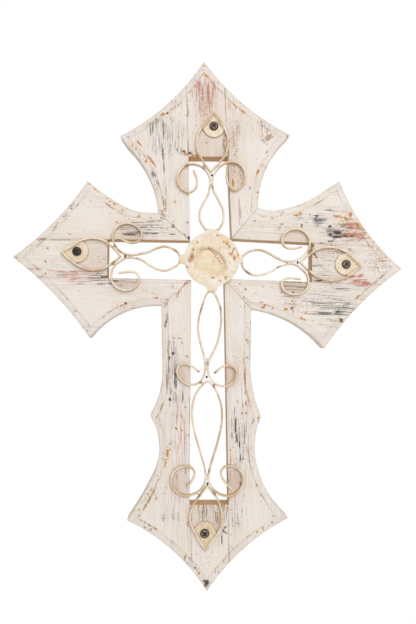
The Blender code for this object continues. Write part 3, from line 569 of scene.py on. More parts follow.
# Small specks of the same colours as x and z, then the half length, half width and strength of each
SPECKS = {
    "grey": [
        (-10, 116), (42, 66), (62, 38), (97, 42), (81, -48), (-20, -271), (-16, -271), (-9, -282),
        (16, -276), (-4, -230), (-3, -234),
    ],
    "red": [
        (-28, -204),
    ],
    "orange": [
        (-66, 105), (-63, 102), (-54, 90), (-9, 160), (-2, 176), (0, 180), (54, 88), (49, 62), (-49, 30),
        (-80, 34), (-100, 64), (-98, 62), (-105, 69), (-90, 56), (-87, 53), (-76, 45), (-156, 8), (-143, 10),
        (-145, -2), (-138, -2), (-77, -42), (152, 13), (165, -2), (80, -38), (81, -30), (74, -25), (55, -42),
        (54, -44), (62, -45), (37, -27), (-22, -76), (-27, -154), (-22, -156), (-33, -173), (-45, -208),
        (-53, -213), (-58, -220), (-61, -227), (-19, -269), (-7, -285), (29, -130), (48, -145), (38, -74),
        (60, -241), (52, -247), (46, -249), (67, -240),
    ],
    "brown": [
        (-70, 113), (2, 108), (-25, 101), (63, 114), (48, 58), (39, 45), (46, 36), (-36, 40), (-49, 38),
        (-27, 53), (-171, 2), (-145, -13), (-111, -62), (-108, -65), (70, 41), (155, 11), (161, 10),
        (172, -7), (159, 6), (70, -30), (-28, -122), (-17, -89), (-19, -135), (-22, -143), (-14, -149),
        (-16, -160), (-41, -139), (-45, -144), (-32, -168), (-50, -209), (-61, -232), (-50, -245),
        (-56, -243), (-33, -256), (3, -294), (8, -284), (35, -168), (40, -134), (33, -141), (37, -141),
        (44, -148), (46, -207), (50, -215), (61, -234), (57, -243), (51, -245), (10, -231), (18, -249),
    ],
    "dark": [
        (-34, 135), (58, 107), (77, 115), (-40, 38), (-73, -40), (115, 17), (80, -45), (81, -31), (-36, -57),
        (-33, -90), (-11, -280), (-3, -292), (-1, -296), (38, -90),
    ],
}
SPECK = (1.2, 0.9, 0.78)

# Wide places where the coat below shows in thin broken streaks, and places of the tan wash, in the same
# order of numbers as the marks
AREAS = {
    "grey": [
        (-38, 112, 24, 8, 0.5), (-24, 112, 16, 7, 0.28), (57, 120, 11, 11, 0.22), (-17, 99, 11, 4, 0.35, 0),
        (-57, 27, 24, 9, 0.48), (-90, -20, 29, 5, 0.42), (106, 37, 8, 7, 0.45), (127, 25, 22, 11, 0.34),
        (89, 39, 13, 4, 0.35), (110, -8, 11, 12, 0.34), (120, -40, 27, 15, 0.58), (80, -37, 18, 9, 0.24),
        (83, -26, 13, 5, 0.45), (-31, -97, 35, 6, 0.5), (-33, -161, 35, 7, 0.2), (-31, -218, 24, 13, 0.16),
        (31, -165, 37, 10, 0.28), (29, -227, 24, 9, 0.3), (1, -232, 15, 12, 0.36), (41, -83, 24, 5, 0.2),
    ],
    "red": [
        (-22, 115, 16, 6, 0.22), (0, 150, 20, 12, 0.54), (29, 127, 22, 7, 0.34), (-117, -14, 33, 6, 0.36),
        (137, 25, 14, 11, 0.46), (143, -22, 12, 6, 0.52, 174), (-24, -157, 37, 8, 0.36),
        (-28, -219, 26, 11, 0.22), (37, -129, 55, 5, 0.22), (-42, -226, 18, 7, 0.12),
    ],
    "orange": [
        (135, 31, 18, 13, 0.26), (87, -44, 24, 8, 0.24, 172), (159, 9, 13, 15, 0.2), (31, 76, 10, 5, 0.26),
    ],
    "brown": [
        (29, 87, 16, 7, 0.22), (57, 118, 12, 10, 0.23), (-98, 1, 11, 7, 0.2), (-148, 1, 18, 13, 0.16),
        (159, -2, 14, 14, 0.34), (0, 146, 24, 13, 0.26), (28, 110, 25, 9, 0.27), (28, -92, 33, 6, 0.2),
        (29, -165, 40, 9, 0.22), (2, -228, 13, 13, 0.2), (-1, -275, 13, 8, 0.16), (-30, -55, 15, 5, 0.14),
        (44, -238, 18, 13, 0.14),
    ],
    # Tan wash places, mostly inside the curls and arches: partly stain and partly painted shade next to the
    # straps
    "wash": [
        (27, 77, 9, 8, 0.34), (34, 72, 6, 5, 0.2), (-21, 72, 9, 6, 0.16), (7, 104, 14, 13, 0.2),
        (14, 100, 8, 8, 0.2), (-71, 25, 10, 8, 0.28), (-72, -18, 9, 8, 0.26), (-98, 4, 14, 14, 0.16),
        (82, 19, 10, 8, 0.2), (82, -24, 10, 8, 0.34), (104, 5, 12, 6, 0.22), (-20, -104, 8, 8, 0.26),
        (22, -106, 8, 8, 0.36), (-24, -200, 9, 8, 0.22), (25, -201, 10, 9, 0.34), (-2, -226, 14, 13, 0.18),
        (7, -236, 18, 10, 0.2), (1, 142, 13, 26, 0.14, 0), (30, 104, 26, 10, 0.14), (48, 120, 16, 12, 0.08),
    ],
}

# Places where the last coat is thick and smooth, in the same order of numbers
CALM = [
    (-112, 38, 30, 16, 0.9, 165), (-110, -42, 28, 15, 0.9), (-150, 2, 18, 9, 0.4), (-21, 70, 34, 6, 0.6),
    (46, 100, 26, 15, 0.9, 60), (37, 58, 24, 9, 0.7), (68, 46, 26, 9, 0.8), (118, 54, 12, 9, 0.5),
    (54, -34, 22, 8, 0.7), (100, -62, 12, 8, 0.6), (-24, -56, 20, 8, 0.5), (30, -52, 26, 11, 0.8),
    (46, -243, 22, 15, 1), (-47, -250, 16, 12, 0.8), (2, -274, 16, 16, 0.9), (-36, 128, 12, 8, 0.3),
]

# Share of a mark's strength in the thin streaks just around it
HALO = {"grey": 0.35, "red": 0.4, "orange": 0.2, "brown": 0.25, "dark": 0.25}
# A mark or a speck touches only planks within this reach of it, in mm
MARK_REACH = 20.0
SPECK_REACH = 5.0
# Half widths of the lines of dirt along the bevel, the joints and the slot, in mm
BEVEL_LINE = 0.75
SEAM_LINE = 0.45
SLOT_LINE = 0.5
# Depth in mm to which worn places, lines and dark marks sink
SINK = 0.10
DARK_SINK = 0.22
# Points this near to a joint line move this share of the way to it, as paint has filled the joint
JOINT_NEAR = 0.25
JOINT_FILL = 0.75
# A side face this near to an edge of the slot is one of its walls, in mm
WALL_NEAR = 0.8


def dab(x, z, stroke, grain, halo=0.0):
    """Weight of one soft elongated mark, which follows the grain if it has no angle of its own."""
    cx, cz, long, wide, strength = stroke[:5]
    a = math.radians(stroke[5] if len(stroke) > 5 else grain)
    u = (x - cx) * math.cos(a) + (z - cz) * math.sin(a)
    v = -(x - cx) * math.sin(a) + (z - cz) * math.cos(a)
    r = (u / long) ** 2 + (v / wide) ** 2
    around = (u / (long * 1.5 + 1.5)) ** 2 + (v / (wide * 1.8 + 1.0)) ** 2
    return strength * np.maximum(np.exp(-r * r * 0.9), halo * np.exp(-around))


def plank_mesh(name):
    """The plank's solid with a fine even grid cut into its front and bevel."""
    bm = bmesh.new()
    bm.from_mesh(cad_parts[name].data)
    bmesh.ops.remove_doubles(bm, verts=bm.verts[:], dist=1e-7)
    bmesh.ops.dissolve_limit(bm, angle_limit=math.radians(0.3), verts=bm.verts[:], edges=bm.edges[:])
    bm.normal_update()
    for axis, normal in ((0, Vector((1, 0, 0))), (2, Vector((0, 0, 1)))):
        low = min(v.co[axis] for v in bm.verts)
        high = max(v.co[axis] for v in bm.verts)
        at = math.floor(low / GRID) * GRID + GRID * 0.5
        while at < high:
            edges = set()
            near = []
            for f in bm.faces:
                reach = [v.co[axis] for v in f.verts]
                if f.normal.y < -0.5 and min(reach) < at < max(reach):
                    near.append(f)
                    edges.update(f.edges)
            if near:
                bmesh.ops.bisect_plane(bm, geom=near + list(edges), dist=2e-5,
                                       plane_co=normal * at, plane_no=normal)
            at += GRID
    bm.normal_update()
    bm.verts.index_update()
    return bm


def bevel_distance(bm, front):
    """Distance in mm of each point of the front from the line where the bevel starts."""
    rim = [v.co for v in bm.verts if front[v.index] and abs(v.co.y - Y_FRONT) < 2e-6
           and any(-0.995 < f.normal.y < -0.5 for f in v.link_faces)]
    tree = kdtree.KDTree(len(rim))
    for i, co in enumerate(rim):
        tree.insert(co, i)
    tree.balance()
    return np.array([tree.find(v.co)[2] / MM if front[v.index] else 99.0 for v in bm.verts])


def beside(x, z, stroke):
    """How far a mark's middle lies outside the box of the points, in mm."""
    return max(x.min() - stroke[0], stroke[0] - x.max(), z.min() - stroke[1], stroke[1] - z.max())


def worn_coats(x, z, angle, drop, bevel, line, seam, slot):
    """Weight of each coat at many points: the marks, then wear on the bevel and dirt along the lines; the
    wash is partly painted shade.
    """
    coats = {kind: np.zeros(len(x)) for kind in AREAS | STROKES}

    def lay(kind, weight):
        coats[kind] = np.maximum(coats[kind], weight)

    for kind, strokes in STROKES.items():
        near = [stroke for stroke in strokes if beside(x, z, stroke) < MARK_REACH]
        near += [(*at, *SPECK) for at in SPECKS.get(kind, []) if beside(x, z, at) < SPECK_REACH]
        for stroke in near:
            lay(kind, dab(x, z, stroke, angle, HALO[kind]))
    for kind, strokes in AREAS.items():
        for stroke in strokes:
            lay(kind, dab(x, z, stroke, angle))
    wide = value_noise(x, z, 7.0, 7.0, 3)
    mid = value_noise(x, z, 3.5, 3.5, 9)
    small = value_noise(x, z, 2.2, 2.2, 5)
    lay("brown", line * np.clip((wide - 0.35) * 1.6, 0, 0.8) * (0.5 + 0.5 * small))
    lay("wash", line * (0.18 + 0.45 * wide * small))
    lay("orange", line * np.clip((wide - 0.78) * 3.0, 0, 0.7))
    lay("brown", bevel * np.clip(mid - 0.30, 0, 1) * 0.50)
    lay("orange", bevel * np.clip(mid - 0.86, 0, 1) * 2.5)
    lay("red", bevel * np.clip(0.40 - wide, 0, 1) * 0.6)
    lay("wash", np.clip((drop - 0.80) / 0.20, 0, 1) * (0.22 + 0.35 * small))
    lay("brown", seam * 0.55 * wide)
    lay("wash", seam * (0.15 + 0.45 * wide))
    lay("wash", slot * (0.12 + 0.40 * small))
    return coats


def close_joint(v, x, z):
    """Move a point of a joint face most of the way to the joint line."""
    gaps = []
    for x0, z0, x1, z1 in SEAMS:
        dx, dz = x1 - x0, z1 - z0
        s = clamp(((x - x0) * dx + (z - z0) * dz) / (dx * dx + dz * dz))
        gaps.append((x0 + s * dx - x, z0 + s * dz - z))
    gap = min(gaps, key=lambda g: math.hypot(*g))
    v.co.x += gap[0] * JOINT_FILL * MM
    v.co.z += gap[1] * JOINT_FILL * MM


def make_plank(name, mats):
    angle, warmth, seed = PLANKS[name]
    bm = plank_mesh(name)
    co = np.array([v.co[:] for v in bm.verts])
    x = co[:, 0] / MM
    z = co[:, 2] / MM + HANG_Z
    front = co[:, 1] < Y_FRONT + BEVEL_DROP + 1e-5
    drop = np.clip((co[:, 1] - Y_FRONT) / BEVEL_DROP, 0.0, 1.0)
    bevel = np.clip(drop * 4.0, 0, 1) * front
    seam_d = np.min([line_distance(x, z, seam) for seam in SEAMS], axis=0)
    slot_d = np.min([line_distance(x, z, side) for side in SLOT_SIDES], axis=0)
    line = np.exp(-(bevel_distance(bm, front) / BEVEL_LINE) ** 2)
    seam = np.exp(-(seam_d / SEAM_LINE) ** 2)
    slot = np.exp(-(slot_d / SLOT_LINE) ** 2)
    coats = worn_coats(x, z, angle, drop, bevel, line, seam, slot)
    calm = np.max([dab(x, z, place_of_calm, angle) for place_of_calm in CALM], axis=0)
    a = math.radians(angle)
    along = x * math.cos(a) + z * math.sin(a)
    across = -x * math.sin(a) + z * math.cos(a)

    waves = value_noise(along, across, 40.0, 6.0, seed)
    sink = SINK * (coats["grey"] + coats["orange"] + seam + slot + line + waves) + DARK_SINK * coats["dark"]
    for v in bm.verts:
        if front[v.index]:
            v.co.y += sink[v.index] * MM
        if seam_d[v.index] < JOINT_NEAR:
            close_joint(v, x[v.index], z[v.index])
    for f in bm.faces:
        if f.normal.y > 0.5:
            f.material_index = 1
        elif abs(f.normal.y) <= 0.5:
            c = f.calc_center_median()
            wall_d = min(line_distance(c.x / MM, c.z / MM + HANG_Z, side) for side in SLOT_SIDES)
            f.material_index = 3 if wall_d < WALL_NEAR else 2
    ob = finish_piece("face_" + name, bm, mats, name, 35.0)
    seeds = np.full(len(x), seed * 0.11)
    store(ob, "FLOAT_VECTOR", grain=np.stack([along * MM, across * MM + seed * 0.37, seeds], axis=1),
          wear=np.stack([coats[kind] for kind in ("grey", "red", "orange")], axis=1),
          dirt=np.stack([coats[kind] for kind in ("brown", "dark", "wash")], axis=1))
    store(ob, "FLOAT", tone=warmth * (1.0 - 0.6 * calm), calm=calm)


planks_mats = [
    wood_paint(),
    wood_back(),
    wood_side("wood_edge", (255, 246, 234), (240, 222, 202), (250, 240, 228), 0.8),
    wood_side("wood_slot", (255, 219, 170), (220, 170, 118), (230, 214, 192), 0.38),
]
for plank in PLANKS:
    make_plank(plank, planks_mats)


# Ironwork: the same drawing as the solids, spread about one point
SPREAD = 1.0074
SPREAD_AT = (-26.9, -64.5)
DISC_LEFT = DISC[0] - DISC_R
DISC_RIGHT = DISC[0] + DISC_R
DISC_TOP = DISC[1] + DISC_R
DISC_LOW = DISC[1] - DISC_R
SCROLLS = {
    "scroll_top": [
        (-10.2, 80.5), (-7.2, 71.0), (-8.6, 64.2), (-14.5, 60.3), (-21.7, 64.0), (-25.2, 72.1),
        (-22.9, 79.8), (-16.8, 85.2), (-8.0, 85.9), (-0.6, 82.0), (3.8, 75.5), (4.5, 68.5),
        (2.8, 58.5), (-2.4, 49.1), (-5.1, 41.8), (-4.6, 34.4),
        (-1.0, DISC_TOP + 4.2), (2.4, DISC_TOP + 1.8),
        (10.4, DISC_TOP + 1.8), (14.0, DISC_TOP + 5.2),
        (16.7, 35.8), (16.2, 44.3), (12.7, 52.8), (8.2, 61.0),
        (6.6, 68.5), (8.2, 76.6), (13.5, 83.9), (20.8, 87.8), (28.6, 87.4), (34.6, 82.8),
        (36.6, 74.8), (32.9, 65.9), (26.4, 62.6), (21.5, 67.3), (19.7, 75.0), (20.5, 85.0),
    ],
    "scroll_left": [
        (-76.4, 17.9), (-70.2, 15.1), (-64.5, 14.3), (-59.8, 16.4), (-57.5, 20.8), (-58.4, 25.6),
        (-62.7, 29.8), (-69.0, 32.0), (-75.1, 31.3), (-80.2, 28.2), (-83.0, 23.2), (-83.1, 17.1),
        (-81.0, 11.2), (-77.2, 6.6), (-71.5, 3.9), (-64.5, 3.4), (-52.5, 5.8), (-44.5, 9.2),
        (-37.0, 11.0), (DISC_LEFT - 10.1, 8.8), (DISC_LEFT - 4.5, 3.6),
        (DISC_LEFT - 4.5, -3.8), (DISC_LEFT - 10.0, -8.1), (-36.5, -10.8),
        (-43.6, -9.6), (-50.8, -5.8), (-57.6, -1.2), (-64.5, 0.6), (-71.5, 0.8), (-77.2, -2.4),
        (-82.2, -6.4), (-84.7, -12.0), (-84.8, -18.0), (-82.6, -23.3), (-78.2, -27.0), (-72.0, -28.5),
        (-66.3, -27.1), (-61.7, -23.3), (-60.0, -17.9), (-62.2, -13.5), (-66.8, -11.8), (-78.7, -12.8),
    ],
    "scroll_right": [
        (88.1, 10.8), (80.5, 9.3), (75.2, 9.6), (71.5, 12.2), (69.8, 16.8), (71.3, 21.9),
        (76.0, 25.6), (81.8, 26.9), (87.6, 26.1), (92.4, 22.6), (95.0, 17.0), (95.0, 10.8),
        (92.7, 5.4), (88.4, 1.2), (82.6, -1.6), (75.7, -2.8), (69.9, -1.6), (64.1, 1.2),
        (57.2, 5.2), (50.4, 7.7), (43.8, 7.6),
        (DISC_RIGHT + 7.6, 5.4), (DISC_RIGHT + 3.1, 1.2), (DISC_RIGHT + 3.1, -6.4),
        (DISC_RIGHT + 5.3, -10.4), (40.7, -14.0), (46.5, -15.3), (53.5, -14.2), (60.5, -11.3), (66.9, -7.6),
        (75.7, -5.0), (82.0, -5.4), (86.4, -8.2), (91.0, -12.6), (93.7, -18.2), (93.3, -25.0),
        (90.0, -29.8), (84.2, -32.4), (77.4, -32.3), (71.9, -29.4), (69.3, -24.8), (70.0, -20.6),
        (73.2, -18.4), (78.5, -17.8), (86.7, -18.8),
    ],
    "scroll_upper": [
        (-6.2, -102.6), (-13.3, -97.0), (-18.3, -94.8), (-23.4, -95.8), (-26.2, -100.6), (-24.7, -107.0),
        (-19.4, -111.9), (-12.7, -114.1), (-6.4, -112.4), (-2.4, -107.2), (-0.8, -100.8), (-0.9, -94.0),
        (-2.2, -86.3), (-5.3, -75.0), (-6.9, -65.0), (-6.4, -55.0), (-3.4, -43.7),
        (0.4, DISC_LOW - 7.4), (4.2, DISC_LOW - 4.0), (8.4, DISC_LOW - 6.4),
        (12.9, -43.0), (14.1, -53.5), (13.1, -64.7), (10.0, -77.6),
        (5.0, -88.0), (2.1, -94.0), (1.7, -100.8), (3.4, -107.4), (8.2, -113.4), (15.3, -115.6),
        (22.9, -113.0), (27.4, -106.0), (26.2, -99.6), (19.8, -96.6), (13.8, -98.8), (7.2, -104.0),
    ],
    "scroll_lower": [
        (-17.4, -205.6), (-12.6, -199.0), (-10.8, -193.2), (-13.9, -188.1), (-20.5, -186.7),
        (-27.5, -189.5), (-31.4, -195.8), (-31.1, -203.2), (-26.0, -210.2), (-17.2, -213.0),
        (-8.4, -210.4), (-3.0, -205.2), (-1.0, -198.6), (-1.6, -189.4), (-5.9, -173.4),
        (-10.4, -157.6), (-12.5, -145.4), (-12.7, -135.9), (-11.0, -126.6), (-7.0, -118.6),
        (-2.0, -113.2), (0.9, -111.2), (3.8, -112.4), (7.6, -117.0), (11.0, -124.2),
        (13.6, -132.9), (14.3, -141.7), (13.5, -151.3), (10.6, -164.0), (7.0, -176.0),
        (3.1, -188.4), (1.6, -198.6), (4.6, -206.2), (11.3, -212.0), (19.6, -213.9),
        (27.8, -210.4), (32.8, -202.9), (32.7, -195.2), (28.0, -189.0), (21.4, -187.0),
        (15.6, -188.6), (12.9, -193.6), (15.4, -200.0), (22.1, -207.4),
    ],
}
ARCHES = {
    "top": [
        (5.3, 79.4), (0.9, 84.8), (-3.8, 92.1), (-6.4, 98.0), (-7.3, 103.8), (-6.9, 109.6),
        (-4.6, 116.2), (1.6, 125.2), (8.4, 133.9), (14.0, 126.4), (18.2, 118.5), (20.6, 112.0),
        (21.2, 105.7), (20.4, 99.3), (17.6, 92.8), (12.6, 87.0),
    ],
    "left": [
        (-76.8, 2.1), (-82.6, 8.8), (-87.0, 13.0), (-92.4, 16.8), (-100.6, 18.4), (-108.2, 17.5),
        (-115.0, 14.7), (-122.0, 10.2), (-128.8, 5.8), (-122.0, -0.6), (-114.6, -6.0),
        (-106.1, -9.5), (-97.4, -10.0), (-89.6, -7.8), (-83.3, -3.5),
    ],
    "right": [
        (86.9, -3.6), (93.1, 1.9), (98.0, 6.2), (103.6, 9.0), (111.7, 10.4), (121.7, 9.2),
        (131.4, 4.4), (138.0, -2.0), (142.4, -7.6), (137.1, -11.4), (130.4, -16.2),
        (121.4, -19.3), (112.4, -19.9), (105.0, -17.9), (98.6, -14.4), (92.4, -9.0),
    ],
    "bottom": [
        (0.5, -204.9), (-6.3, -213.2), (-11.0, -219.4), (-14.3, -227.0), (-15.2, -234.6),
        (-12.4, -242.4), (-7.4, -252.0), (-1.5, -261.4), (4.4, -253.8), (9.6, -246.7),
        (12.4, -240.2), (13.4, -232.2), (12.3, -223.0), (8.2, -214.2),
    ],
}
SCREWS = {
    "top": (8.4, 121.2),
    "left": (-115.6, 6.6),
    "right": (129.0, -5.2),
    "bottom": (-2.0, -247.0),
}
# Turn of each screw's cross recess in radians, and how far the stain darkens its head
SCREW_TURN = {"top": 0.75, "left": 0.25, "right": 0.62, "bottom": 0.70}
SCREW_STAIN = {"top": 0.15, "left": 0.93, "right": 0.0, "bottom": 0.0}
# Distance between points along a strap, in mm
STRAP_STEP = 1.1


def iron_point(p):
    return Vector([middle + (value - middle) * SPREAD for value, middle in zip(p, SPREAD_AT)])


def spline(points, step=STRAP_STEP):
    """Smooth line through the drawn points, with even steps."""
    pts = [iron_point(p) for p in points]
    fine = []
    last = len(pts) - 1
    for i in range(last):
        p1, p2 = pts[i], pts[i + 1]
        p0 = pts[i - 1] if i > 0 else p1 + (p1 - p2)
        p3 = pts[i + 2] if i + 2 <= last else p2 + (p2 - p1)
        for k in range(16):
            t = k / 16.0
            a = (p2 - p0) * 0.5
            b = (p3 - p1) * 0.5
            h = p1 * (2 * t**3 - 3 * t**2 + 1) + p2 * (3 * t**2 - 2 * t**3)
            fine.append(h + a * (t**3 - 2 * t**2 + t) + b * (t**3 - t**2))
    fine.append(pts[-1])
    total = sum((q - p).length for p, q in zip(fine, fine[1:]))
    count = max(4, round(total / step))
    even = [fine[0]]
    run = 0.0
    target = total / count
    for p, q in zip(fine, fine[1:]):
        seg = (q - p).length
        while run + seg >= target - 1e-9 and len(even) < count:
            even.append(p.lerp(q, (target - run) / seg))
            target += total / count
        run += seg
    even.append(fine[-1])
    return even


def arch_path(points):
    """Closed line of an arch, with sharp turns at its first point and at the point farthest from it."""
    far = max(range(len(points)), key=lambda i: (Vector(points[i]) - Vector(points[0])).length)
    return spline(points[: far + 1])[:-1] + spline(points[far:] + points[:1])[:-1]


def tangents(path, closed):
    """Unit direction and mitre stretch at each point of a line."""
    count = len(path)
    rows = []
    for i in range(count):
        dirs = []
        if i > 0 or closed:
            dirs.append((path[i] - path[i - 1]).normalized())
        if i < count - 1 or closed:
            dirs.append((path[(i + 1) % count] - path[i]).normalized())
        t = (dirs[0] + dirs[-1]).normalized()
        rows.append((t, 1.0 / max(0.35, t.dot(dirs[0]))))
    return rows


# Section of the strap as it goes round: across and depth, both as shares, with rubbed corners
SECTION = [
    (-0.62, 1.0), (-0.92, 0.955), (-1.0, 0.88), (-1.0, 0.5), (-1.0, 0.07), (-0.80, 0.0),
    (0.80, 0.0), (1.0, 0.07), (1.0, 0.5), (1.0, 0.88), (0.92, 0.955), (0.62, 1.0), (0.0, 1.0),
]
# Rubbed and rusty places on the straps, each with its reach, and the pits between welded straps, painted
# near black as rust and as shade in the gaps
RUBBED = [
    (6.5, 66.0, 4), (-61.9, 1.8, 3), (-82.6, 11.8, 4), (-83.6, -3.6, 4), (95.4, 6.4, 4), (94.3, -10.2, 3),
    (1.4, -94.6, 4), (-4.4, -111.7, 4), (7.3, -115.5, 4), (1.1, -192.0, 5), (-6.8, -213.4, 4),
    (7.2, -211.9, 5), (-0.7, 84.3, 4), (-5.9, -46.3, 11), (39.0, -12.8, 6), (-27.5, 7.3, 5),
    (-6.7, -101.8, 3), (8.3, -102.8, 3), (66.0, -6.0, 6), (14.9, -44.0, 6), (-77.0, 8.0, 4),
    (-16.0, 84.0, 5),
]
RUST_AND_SHADE_PITS = [("scroll_top", 6.5, 77.0), ("scroll_left", -72.8, 2.6), ("scroll_right", 85.0, -3.1),
        ("scroll_upper", 0.8, -107.3), ("scroll_lower", 1.0, -203.7)]
# Small lumps of weld between neighbouring straps, each with the piece that carries it
LUMPS = [("scroll_upper", -4.5, -111.9), ("scroll_upper", 6.9, -114.6), ("scroll_lower", -6.6, -212.6),
         ("scroll_lower", 7.2, -211.6), ("scroll_left", -82.0, 11.4), ("scroll_left", -83.0, -4.6),
         ("scroll_right", 94.2, 5.4), ("scroll_right", 92.4, -10.0), ("scroll_top", -1.2, 84.2),
         ("scroll_top", 12.9, 84.2), ("scroll_upper", -0.2, -93.6), ("scroll_upper", 1.2, -91.2)]
# Two sides of a strap closer than this in mm are welded, if they are this many points apart along it
WELD_NEAR = 2.75
WELD_APART = 12
# Half width of such a weld in mm, and its depths in metres
WELD_HALF = 0.62
Y_WELD_BACK = Y_STRAP_BACK - 0.0004
Y_WELD_FRONT = Y_STRAP_FRONT + 0.00025


def strap_tube(bm, path, closed, half, y_back, y_front, seed, taper=False):
    """Strap along a line, with wavering sides, nicks in its front edge and narrower ends."""
    rows = []
    last = len(path) - 1
    for i, (p, (t, stretch)) in enumerate(zip(path, tangents(path, closed))):
        normal = Vector((-t.y, t.x))
        waver = uneven(p.x, p.y, 0.16, seed) * 0.05
        nick = max(0.0, uneven(p.x, p.y, 0.9, seed + 4.0) - 0.35) * 0.22
        dip = uneven(p.x, p.y, 0.05, seed + 9.0) * 0.12 - 0.12
        end = 1.0
        if taper:
            end = min(1.0, 0.25 + min(i, last - i) * 0.4)
        elif not closed and i in (0, last):
            end = 0.86
        row = []
        for across, deep in SECTION:
            q = p + normal * ((half + waver) * across * stretch * end)
            y = y_back + (y_front - y_back) * deep
            if deep > 0.9:
                y += (nick - dip * 0.4) * MM
            row.append(bm.verts.new(place(q.x, q.y, y)))
        rows.append(row)
    bridge(bm, rows, closed)
    if not closed:
        bm.faces.new(rows[0])
        bm.faces.new(rows[-1])


def weld_runs(path):
    """Stretches where two sides of the same strap run close together, as lines midway between them."""
    runs = []
    run = []
    for i, p in enumerate(path):
        others = [q for q in path[i + WELD_APART:] if (q - p).length < WELD_NEAR]
        if others:
            run.append((p + min(others, key=lambda q: (q - p).length)) / 2.0)
        elif run:
            runs.append(run)
            run = []
    return [run for run in runs if len(run) >= 3]


def add_lump(bm, px, pz):
    """Flattened bead that bridges the small gap between two straps."""
    made = bmesh.ops.create_icosphere(bm, subdivisions=3, radius=1.0)
    for v in made["verts"]:
        x, y, z = v.co
        size = 1.15 + 0.35 * uneven(px + x, pz + z, 1.0, y)
        v.co = place(px + x * size, pz + z * size, Y_STRAP_FRONT + (1.55 + y * 1.5) * MM)


def add_rust_and_shade_pit(bm, px, pz):
    """Small lump of weld between two straps, a little behind their front edges, coloured near black as rust
    and as painted shade in the gap.
    """
    made = bmesh.ops.create_icosphere(bm, subdivisions=2, radius=1.0)
    for v in made["verts"]:
        x, y, z = v.co
        v.co = place(px + x * 0.95, pz + z * 1.35, Y_STRAP_FRONT + (1.9 + y * 1.1) * MM)


def strap_rust(v, rust_and_shade_pits):
    """Rust near the rubbed places at a point of a strap, and near-black painted shade on the pits in the
    gaps between welded straps.
    """
    x = v.co.x / MM
    z = v.co.z / MM + HANG_Z
    if any(math.hypot(x - px, (z - pz) / 1.4) < 1.02 for px, pz in rust_and_shade_pits):
        return 2.0
    return max(0.0, *(1.0 - math.hypot(x - rx, z - rz) / (reach * 1.2) for rx, rz, reach in RUBBED))


def make_iron(mat):
    lines = {node: (spline(points), False) for node, points in SCROLLS.items()}
    lines |= {"arch_" + arm: (arch_path(points), True) for arm, points in ARCHES.items()}
    for k, (node, (path, closed)) in enumerate(lines.items()):
        bm = bmesh.new()
        strap_tube(bm, path, closed, STRAP_W / 2.0, Y_STRAP_BACK, Y_STRAP_FRONT, 3.7 * k)
        if not closed:
            for run in weld_runs(path):
                strap_tube(bm, run, False, WELD_HALF, Y_WELD_BACK, Y_WELD_FRONT, 1.0 + k, True)
        rust_and_shade_pits = [(px, pz) for owner, px, pz in RUST_AND_SHADE_PITS if owner == node]
        for px, pz in rust_and_shade_pits:
            add_rust_and_shade_pit(bm, px, pz)
        for owner, *at in LUMPS:
            if owner == node:
                add_lump(bm, *iron_point(at))
        ob = finish_piece("strap_" + node, bm, [mat], node, 50.0)
        store(ob, "FLOAT", rust=[strap_rust(v, rust_and_shade_pits) for v in ob.data.vertices])


# Disc: direction, half width and length of the tongues, as on the solid
TONGUES = [(90.0, 12.0, 2.4), (180.0, 9.0, 4.8), (270.0, 10.0, 4.6), (0.0, 8.5, 3.6)]
# The dish is cut steeply along an arc at the upper right and runs out softly to the lower left
DISH_MID = (-6.0, -9.0)
DISH_REACH = 21.0
DISH_DEEP = 2.2
# Places and turns of the shallow strokes that stand in for worn marks, along an arc in the dish
MARKS = [(-2.8 + 1.6 * i, 10.3 - 1.35 * i - 0.10 * i * i, turn)
         for i, turn in enumerate((78, 62, 84, 55, 70, 88, 60, 76))]
# Brown places on the disc, then places where the paint is chalky white: x, z, half width, half height
BLOTCHES = [
    (-18.2, 2.2, 2.9, 5.4), (-17.0, 8.8, 1.8, 2.0), (-20.3, -1.2, 2.2, 3.6), (14.1, 14.1, 1.8, 2.3),
    (16.2, 11.2, 1.5, 2.0), (20.3, 9.3, 1.8, 1.5), (17.4, 4.7, 2.4, 2.1), (20.6, 0.9, 1.9, 3.3),
    (18.8, 7.0, 1.4, 1.4), (12.3, -16.9, 1.9, 2.1), (7.3, -19.7, 1.7, 1.1), (1.0, -16.9, 1.8, 1.2),
    (5.0, 21.4, 2.2, 1.3), (-13.2, 15.4, 1.4, 1.7), (-22.2, -6.6, 1.5, 2.2), (11.0, 15.8, 1.4, 1.2),
    (24.0, 6.4, 1.2, 6.0),
]
CHALKY = [
    (-21.0, 7.5, 2.4, 5.0), (18.6, 11.8, 1.6, 2.2), (17.2, 7.2, 1.2, 1.4), (18.0, -6.0, 3.0, 6.0),
    (1.4, -20.4, 5.0, 2.2), (-9.6, -19.2, 2.6, 1.2), (-21.5, -4.0, 1.6, 3.6), (-12.0, 18.0, 5.0, 2.4),
    (8.0, -22.4, 4.0, 1.6),
]
# Points round the disc, step and number of the fine rings, then shares of the way from them to the rim
DISC_STEPS = 240
RING_STEP = 0.35
FINE_RINGS = 60
RIM_SHARES = (0.25, 0.45, 0.62, 0.76, 0.87, 0.95)
# The worked face ends this far in from the edge, in mm
RIM_INSET = 0.35
# Rounded rim: distance in from the edge and depth. Back: radius and depth of the bulge behind the dish.
RIM_TURN = ((0.12, 0.13), (0.0, 0.41), (0.0, 1.25), (0.12, 1.52), (0.4, 1.6))
DISC_BACK = ((18.0, 1.6), (17.0, 2.2), (15.8, 3.8), (14.0, 4.0))


def disc_reach(a):
    """Outer reach of the disc at an angle, with eased corners at the tongues."""
    reach = DISC_R
    for mid, half, length in TONGUES:
        off = abs((a - mid + 180.0) % 360.0 - 180.0)
        reach = max(reach, DISC_R + length * ease((half + 3.2 - off) / 6.4))
    return reach


